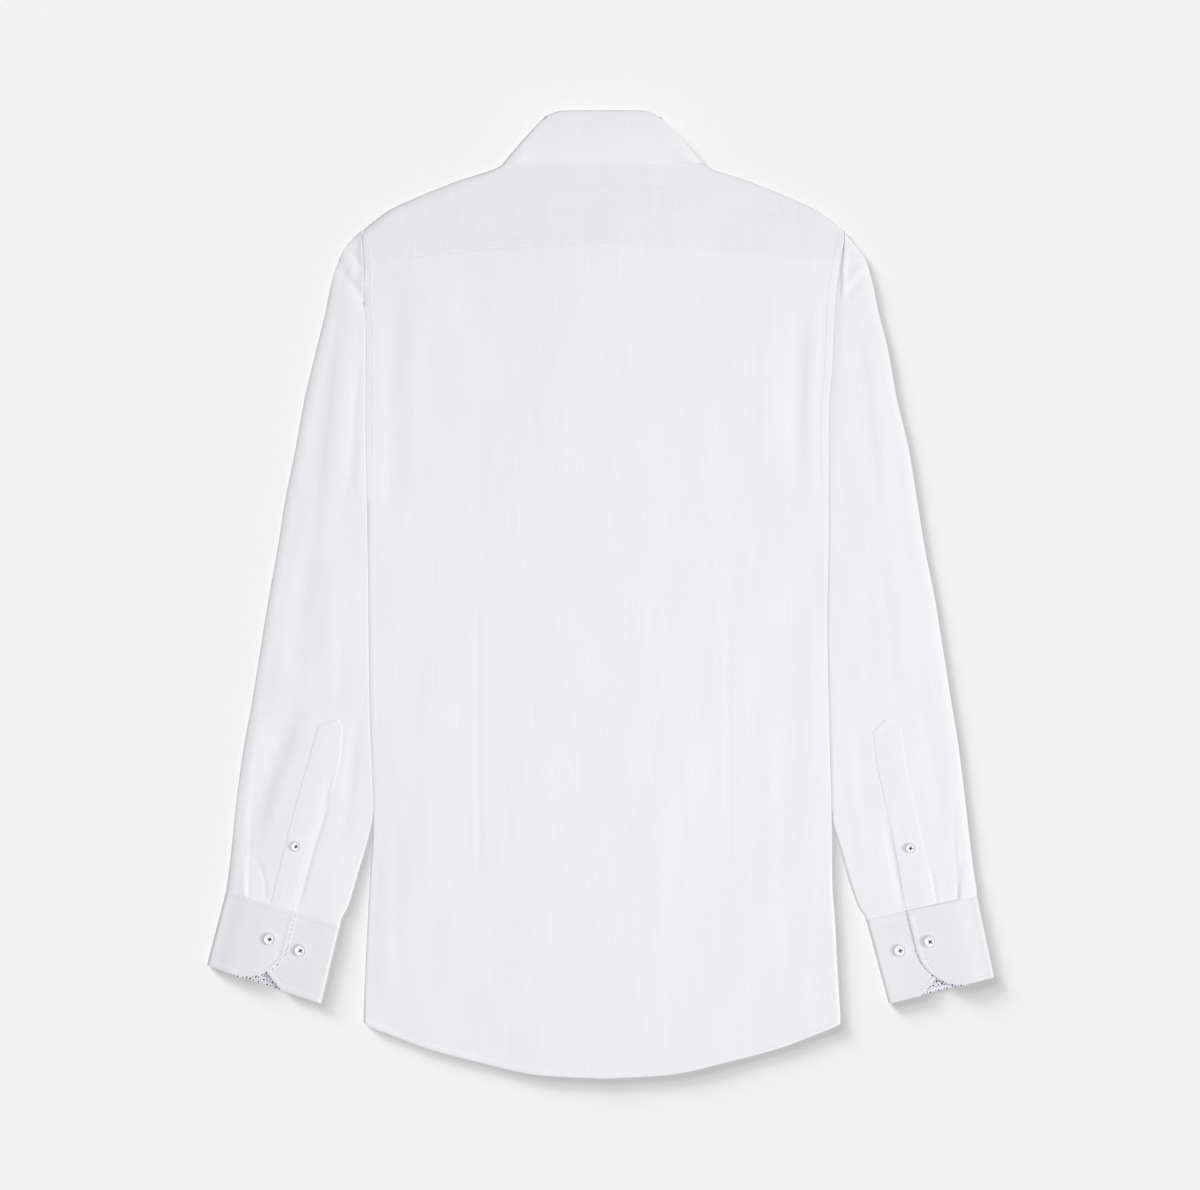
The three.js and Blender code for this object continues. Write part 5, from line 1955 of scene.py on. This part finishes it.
@dataclass
class Threads:
    """Short lengths of thread that make one mesh.

    Attributes:
        radius: The thread's radius in millimetres.
    """

    radius: float

    SIDES = 6

    def __post_init__(self) -> None:
        """Starts with no thread."""
        self.points: list[tuple[float, float, float]] = []
        self.faces: list[tuple[int, ...]] = []

    def add(self, start: Sequence[float], end: Sequence[float], rise: float = 0.15) -> None:
        """Adds one length, which dips into the cloth at both ends.

        Args:
            start: Where it comes up.
            end: Where it goes down.
            rise: How much higher its middle lies.
        """
        a, b = Vector(start), Vector(end)
        way = (b - a).normalized()
        across = way.cross(Vector((0, 0, 1))).normalized()
        up = across.cross(way)
        first = len(self.points)
        sunk, flank = (0.5, -0.15), (1.0, rise * 0.7)
        rings = ((0.0, *sunk), (0.2, *flank), (0.5, 1.0, rise), (0.8, *flank), (1.0, *sunk))
        for share, size, lift in rings:
            middle = a.lerp(b, share) + up * lift
            for k in range(self.SIDES):
                turn = 2 * math.pi * k / self.SIDES
                out = across * math.cos(turn) + up * math.sin(turn)
                self.points.append(tuple(middle + out * self.radius * size))
        for ring in range(4):
            for k in range(self.SIDES):
                p = first + ring * self.SIDES + k
                q = first + ring * self.SIDES + (k + 1) % self.SIDES
                self.faces.append((p, q, q + self.SIDES, p + self.SIDES))
        self.faces.append(tuple(reversed(range(first, first + self.SIDES))))
        self.faces.append(tuple(range(first + 4 * self.SIDES, first + 5 * self.SIDES)))

    def mesh(self, name: str, shift: Vector) -> bpy.types.Mesh:
        """Builds the mesh.

        Args:
            name: Its name.
            shift: From the threads' coordinates to the frame, in millimetres.

        Returns:
            The mesh, in metres.
        """
        mesh = bpy.data.meshes.new(name)
        mesh.from_pydata([tuple((Vector(p) + shift) * MM) for p in self.points], [], self.faces)
        mesh.polygons.foreach_set("use_smooth", np.ones(len(self.faces), bool))
        return mesh


SLEEVE_BUTTONS = (
    ("button_placket_left", Side.LEFT, -269.3, -221.3, 4.6, 2.2, 12.0),
    ("button_cuff_left_1", Side.LEFT, -292.3, -302.6, 5.6, 2.4, 28.0),
    ("button_cuff_left_2", Side.LEFT, -265.5, -312.8, 5.6, 2.4, -17.0),
    ("button_placket_right", Side.RIGHT, 270.5, -222.8, 4.6, 2.2, 40.0),
    ("button_cuff_right_1", Side.RIGHT, 287.6, -304.9, 5.6, 2.4, 8.0),
    ("button_cuff_right_2", Side.RIGHT, 261.4, -312.8, 5.6, 2.4, -35.0),
)


@dataclass(frozen=True)
class Buttons:
    """All the shirt's buttons.

    Attributes:
        shop: Where they are made.
    """

    shop: Workshop

    def front(self) -> None:
        """Makes the buttons down the hidden front and on the stand."""
        rows = [("button_collar", 315.0, 5.0)]
        for i in range(FRONT_BUTTON_COUNT):
            rows.append((f"button_front_{i + 1}", FRONT_BUTTON_TOP_Y - i * FRONT_BUTTON_PITCH, 5.6))
        for node, y, radius in rows:
            button = Button(node, radius, 2.3, turn=45.0, face_down=True)
            place = (Vector((0.0, y, 2.3)) + self.shop.shift) * MM
            button.build(self.shop, place)

    def sleeve(self, side: Side, ground: Ground) -> None:
        """Makes the buttons of one sleeve.

        Args:
            side: Which sleeve.
            ground: What they lie on.
        """
        for node, where, x, y, radius, height, turn in SLEEVE_BUTTONS:
            if where is not side:
                continue
            steps = [(0, 0), (radius, 0), (-radius, 0), (0, radius), (0, -radius)]
            seat = max(ground.height(x + dx, y + dy) for dx, dy in steps)
            place = (Vector((x, y, seat + SEAM_GAP)) + self.shop.shift) * MM
            Button(node, radius, height, turn).build(self.shop, place)


# Stitching


def beside(path: np.ndarray, distance: float) -> np.ndarray:
    """Moves a line to its left.

    Args:
        path: Its points.
        distance: How far, to the right if below nought.

    Returns:
        The moved points.
    """
    way = np.gradient(path, axis=0)
    way /= np.linalg.norm(way, axis=1, keepdims=True) + 1e-9
    return path + np.stack([-way[:, 1], way[:, 0]], axis=-1) * distance


@dataclass(frozen=True)
class Stitching:
    """Rows of machine stitches on the upper cloth.

    Attributes:
        shop: Where they are made.
        ground: What they are sewn on.
        length: Each stitch's length.
        space: From one stitch to the next.
    """

    shop: Workshop
    ground: Ground
    length: float = 2.1
    space: float = 0.6

    def rows(self, name: str, paths: Iterable[np.ndarray], radius: float = 0.2) -> None:
        """Sews along some lines.

        Args:
            name: The piece's name.
            paths: The lines.
            radius: The thread's radius.
        """
        threads = Threads(radius)
        for path in paths:
            steps = np.linalg.norm(np.diff(path, axis=0), axis=1)
            done = np.concatenate([[0.0], np.cumsum(steps)])
            for start in np.arange(0.0, done[-1] - self.length, self.length + self.space):
                ends = []
                for at in (start, start + self.length):
                    x, y = (float(np.interp(at, done, path[:, i])) for i in range(2))
                    ends.append((x, y, self.ground.height(x, y) + 0.02))
                if min(ends[0][2], ends[1][2]) > 1.5 and abs(ends[0][2] - ends[1][2]) < 1.0:
                    threads.add(*ends)
        mesh = threads.mesh(name, self.shop.shift)
        # The white thread is brighter than the cloth, partly painted highlight along the seams.
        self.shop.add(name, mesh, self.shop.finishes.thread, [], "shirt_cloth")

    def body(self) -> None:
        """Sews the hem, the yoke's seam and the armholes."""
        x = np.linspace(-203, 203, 240)
        hem = np.stack([x, Outline.back_hem(np.abs(x))], axis=-1)
        self.rows("stitches_hem", [beside(hem, Body.hem)])
        x = np.linspace(-205, 205, 200)
        seam = np.stack([x, Outline.yoke_seam(np.abs(x))], axis=-1)
        self.rows("stitches_yoke", [beside(seam, 6.0)])
        lines = []
        for side in Side:
            y = np.linspace(100, 308, 90)
            lines.append(np.stack([side.sign * (Outline.sides[side](y) - 6.0), y], axis=-1))
        self.rows("stitches_armholes", lines)

    def collar(self) -> None:
        """Sews along the collar's edge."""
        x = np.linspace(-80, 80, 90)
        edge = np.stack([x, 380.0 - 0.6 * (np.abs(x) / 80) ** 3 + 6.0], axis=-1)
        self.rows("stitches_collar", [edge])

    def placket(self, strip: SleevePlacket) -> None:
        """Sews round a sleeve's strip.

        Args:
            strip: The strip.
        """
        along = np.linspace(0.03, 1, 90)
        sewn, free = strip.edges(along)
        way = (free - sewn) / np.linalg.norm(free - sewn, axis=1, keepdims=True)
        house_end = np.searchsorted(along, 0.33)
        below_peak = np.array(strip.peak) - np.array([0.0, 2.4])
        top = np.array([sewn[0] + way[0] * 2.0, below_peak, free[0] - way[0] * 2.0])
        box = np.array([sewn[house_end] + way[0] * 2, free[house_end] - way[0] * 2])
        lines = [sewn + way * 2.0, free - way * 2.0, top, box]
        self.rows(f"stitches_placket_{strip.side.value}", lines, 0.12)

    def cuff(self, side: Side) -> None:
        """Sews round a cuff's flap and underlap.

        Args:
            side: Which cuff.
        """
        shape = CUFFS[side]
        width, depth, place = shape.width, shape.depth, shape.place
        flap, radius, inset = shape.flap_end * width, Cuff.flap_corner, 5.0
        sewn = radius - inset
        corner = [
            place(flap - radius + sewn * math.sin(t), depth - radius + sewn * math.cos(t))
            for t in arc(0, 90, 24)
        ]
        path = [place(9, depth - inset), *corner, place(flap - inset, inset + 1), place(9, inset + 1)]
        lap = shape.underlap_end * width
        long, steep = Cuff.mitre
        aside = inset * math.hypot(1, steep)
        under = [
            place(width - 7, depth - inset),
            place(lap + long + (aside - inset) / steep, depth - inset),
            place(lap + 30, depth - steep * (long - 30) - aside),
        ]
        upper = [place(width - 7, inset), place(flap + 3, inset)]
        self.rows(f"stitches_cuff_{side.value}", [np.array(path), np.array(under), np.array(upper)], 0.17)


# The studio


class Lit(Enum):
    """What a light falls on."""

    FLOOR = "INCLUDE"
    ALL_BUT_FLOOR = "EXCLUDE"


@dataclass(frozen=True)
class Lamp:
    """A light that looks at the middle of the shirt.

    Attributes:
        name: Its name.
        kind: Its type in the program.
        place: Where it is, in metres.
        power: In watts, or in watts to a square metre for a sun.
        size: The length of a square light's side in metres, or a sun's width in degrees.
        lit: What it falls on.
    """

    name: str
    kind: str
    place: tuple[float, float, float]
    power: float
    size: float
    lit: Lit

    def build(self, floor: bpy.types.Object) -> bpy.types.Object:
        """Makes the light.

        Args:
            floor: The floor, which it falls on alone or leaves out.

        Returns:
            The light.
        """
        data = bpy.data.lights.new(self.name, self.kind)
        data.energy = self.power
        if self.kind == "SUN":
            data.angle = math.radians(self.size)
        else:
            data.size = self.size
        light = bpy.data.objects.new(self.name, data)
        light.location = self.place
        light.rotation_euler = (-Vector(self.place)).to_track_quat("-Z", "Y").to_euler()
        bpy.context.scene.collection.objects.link(light)
        receivers = bpy.data.collections.new(f"{self.name}_receivers")
        receivers.objects.link(floor)
        receivers.collection_objects[0].light_linking.link_state = self.lit.value
        light.light_linking.receiver_collection = receivers
        return light


@dataclass(frozen=True)
class Studio:
    """The pale floor, the soft lights and the camera.

    Attributes:
        photo_width: What the photo shows across at the shirt, in metres.
        camera_height: In metres.
        centre: The middle of the photo on the floor, in metres.
    """

    photo_width: float = 1.056
    camera_height: float = 4.2
    centre: Point = (-0.00044, -0.00044)

    LAMPS = (
        Lamp("side_light", "AREA", (5.6, -0.8, 4.1), 252.0, 2.8, Lit.ALL_BUT_FLOOR),
        Lamp("top_light", "AREA", (0.0, -0.1, 2.0), 18.8, 1.0, Lit.ALL_BUT_FLOOR),
        Lamp("low_light", "SUN", (-3.2, 3.2, 1.25), 4.2, 16.0, Lit.FLOOR),
        Lamp("high_light", "SUN", (-3.2, 3.2, 2.6), 2.3, 36.0, Lit.FLOOR),
    )

    def build(self, finishes: Finishes) -> None:
        """Sets it all up.

        Args:
            finishes: Where the floor's finish is.
        """
        mesh = bpy.data.meshes.new("floor")
        half = 6.0
        corners = [(-half, -half, 0), (half, -half, 0), (half, half, 0), (-half, half, 0)]
        mesh.from_pydata(corners, [], [(0, 1, 2, 3)])
        mesh.materials.append(finishes.floor)
        floor = bpy.data.objects.new("floor", mesh)
        bpy.context.scene.collection.objects.link(floor)
        for lamp in self.LAMPS:
            lamp.build(floor)
        world = bpy.data.worlds.new("studio")
        world.use_nodes = True
        world.node_tree.nodes["Background"].inputs["Color"].default_value = (1.0, 1.0, 1.0, 1.0)
        world.node_tree.nodes["Background"].inputs["Strength"].default_value = 0.3
        bpy.context.scene.world = world
        bpy.context.scene.view_settings.view_transform = "Standard"
        self.camera()

    def camera(self) -> None:
        """Hangs the camera straight over the shirt, with the collar at the top of the image."""
        data = bpy.data.cameras.new("camera")
        data.sensor_width = 36.0
        data.lens = 36.0 * self.camera_height / self.photo_width
        camera = bpy.data.objects.new("camera", data)
        camera.location = (*self.centre, self.camera_height)
        bpy.context.scene.collection.objects.link(camera)
        bpy.context.scene.camera = camera


PLACKETS = (
    SleevePlacket(
        Side.LEFT,
        stitched=((-249.9, -114.8), (-258, -144), (-276, -208), (-291.5, -271)),
        free=((-228.8, -116.6), (-231.2, -144.8), (-249.9, -208.1), (-270.2, -278)),
        peak=(-233.2, -109.6),
    ),
    SleevePlacket(
        Side.RIGHT,
        stitched=((261.9, -117.3), (266, -150), (278.4, -205), (292.9, -272)),
        free=((237.6, -121), (241.1, -148.3), (255.2, -214), (266.8, -277.6)),
        peak=(248.8, -109.6),
    ),
)


def main() -> None:
    """Builds the shirt from the surface up, then its studio."""
    logging.basicConfig(level=logging.INFO, format="%(message)s")
    finishes = Finishes.build()
    shop = Workshop(finishes)
    Studio().build(finishes)
    upper = Body().build(shop)
    collar = Collar().build(shop)
    buttons = Buttons(shop)
    buttons.front()
    carriers = {}
    for strip in PLACKETS:
        sleeve = Sleeve(strip.side).build(shop)
        placket = strip.build(shop, Ground.of([sleeve], shop.shift))
        cuff = Cuff(strip.side).build(shop)
        carriers[strip.side] = [sleeve, placket, *cuff]
        buttons.sleeve(strip.side, Ground.of(carriers[strip.side], shop.shift))
    everything = [*upper, *collar, *carriers[Side.LEFT], *carriers[Side.RIGHT]]
    stitching = Stitching(shop, Ground.of(everything, shop.shift))
    stitching.body()
    stitching.collar()
    for strip in PLACKETS:
        stitching.placket(strip)
        stitching.cuff(strip.side)
    shop.declare()


if __name__ == "__main__":
    main()
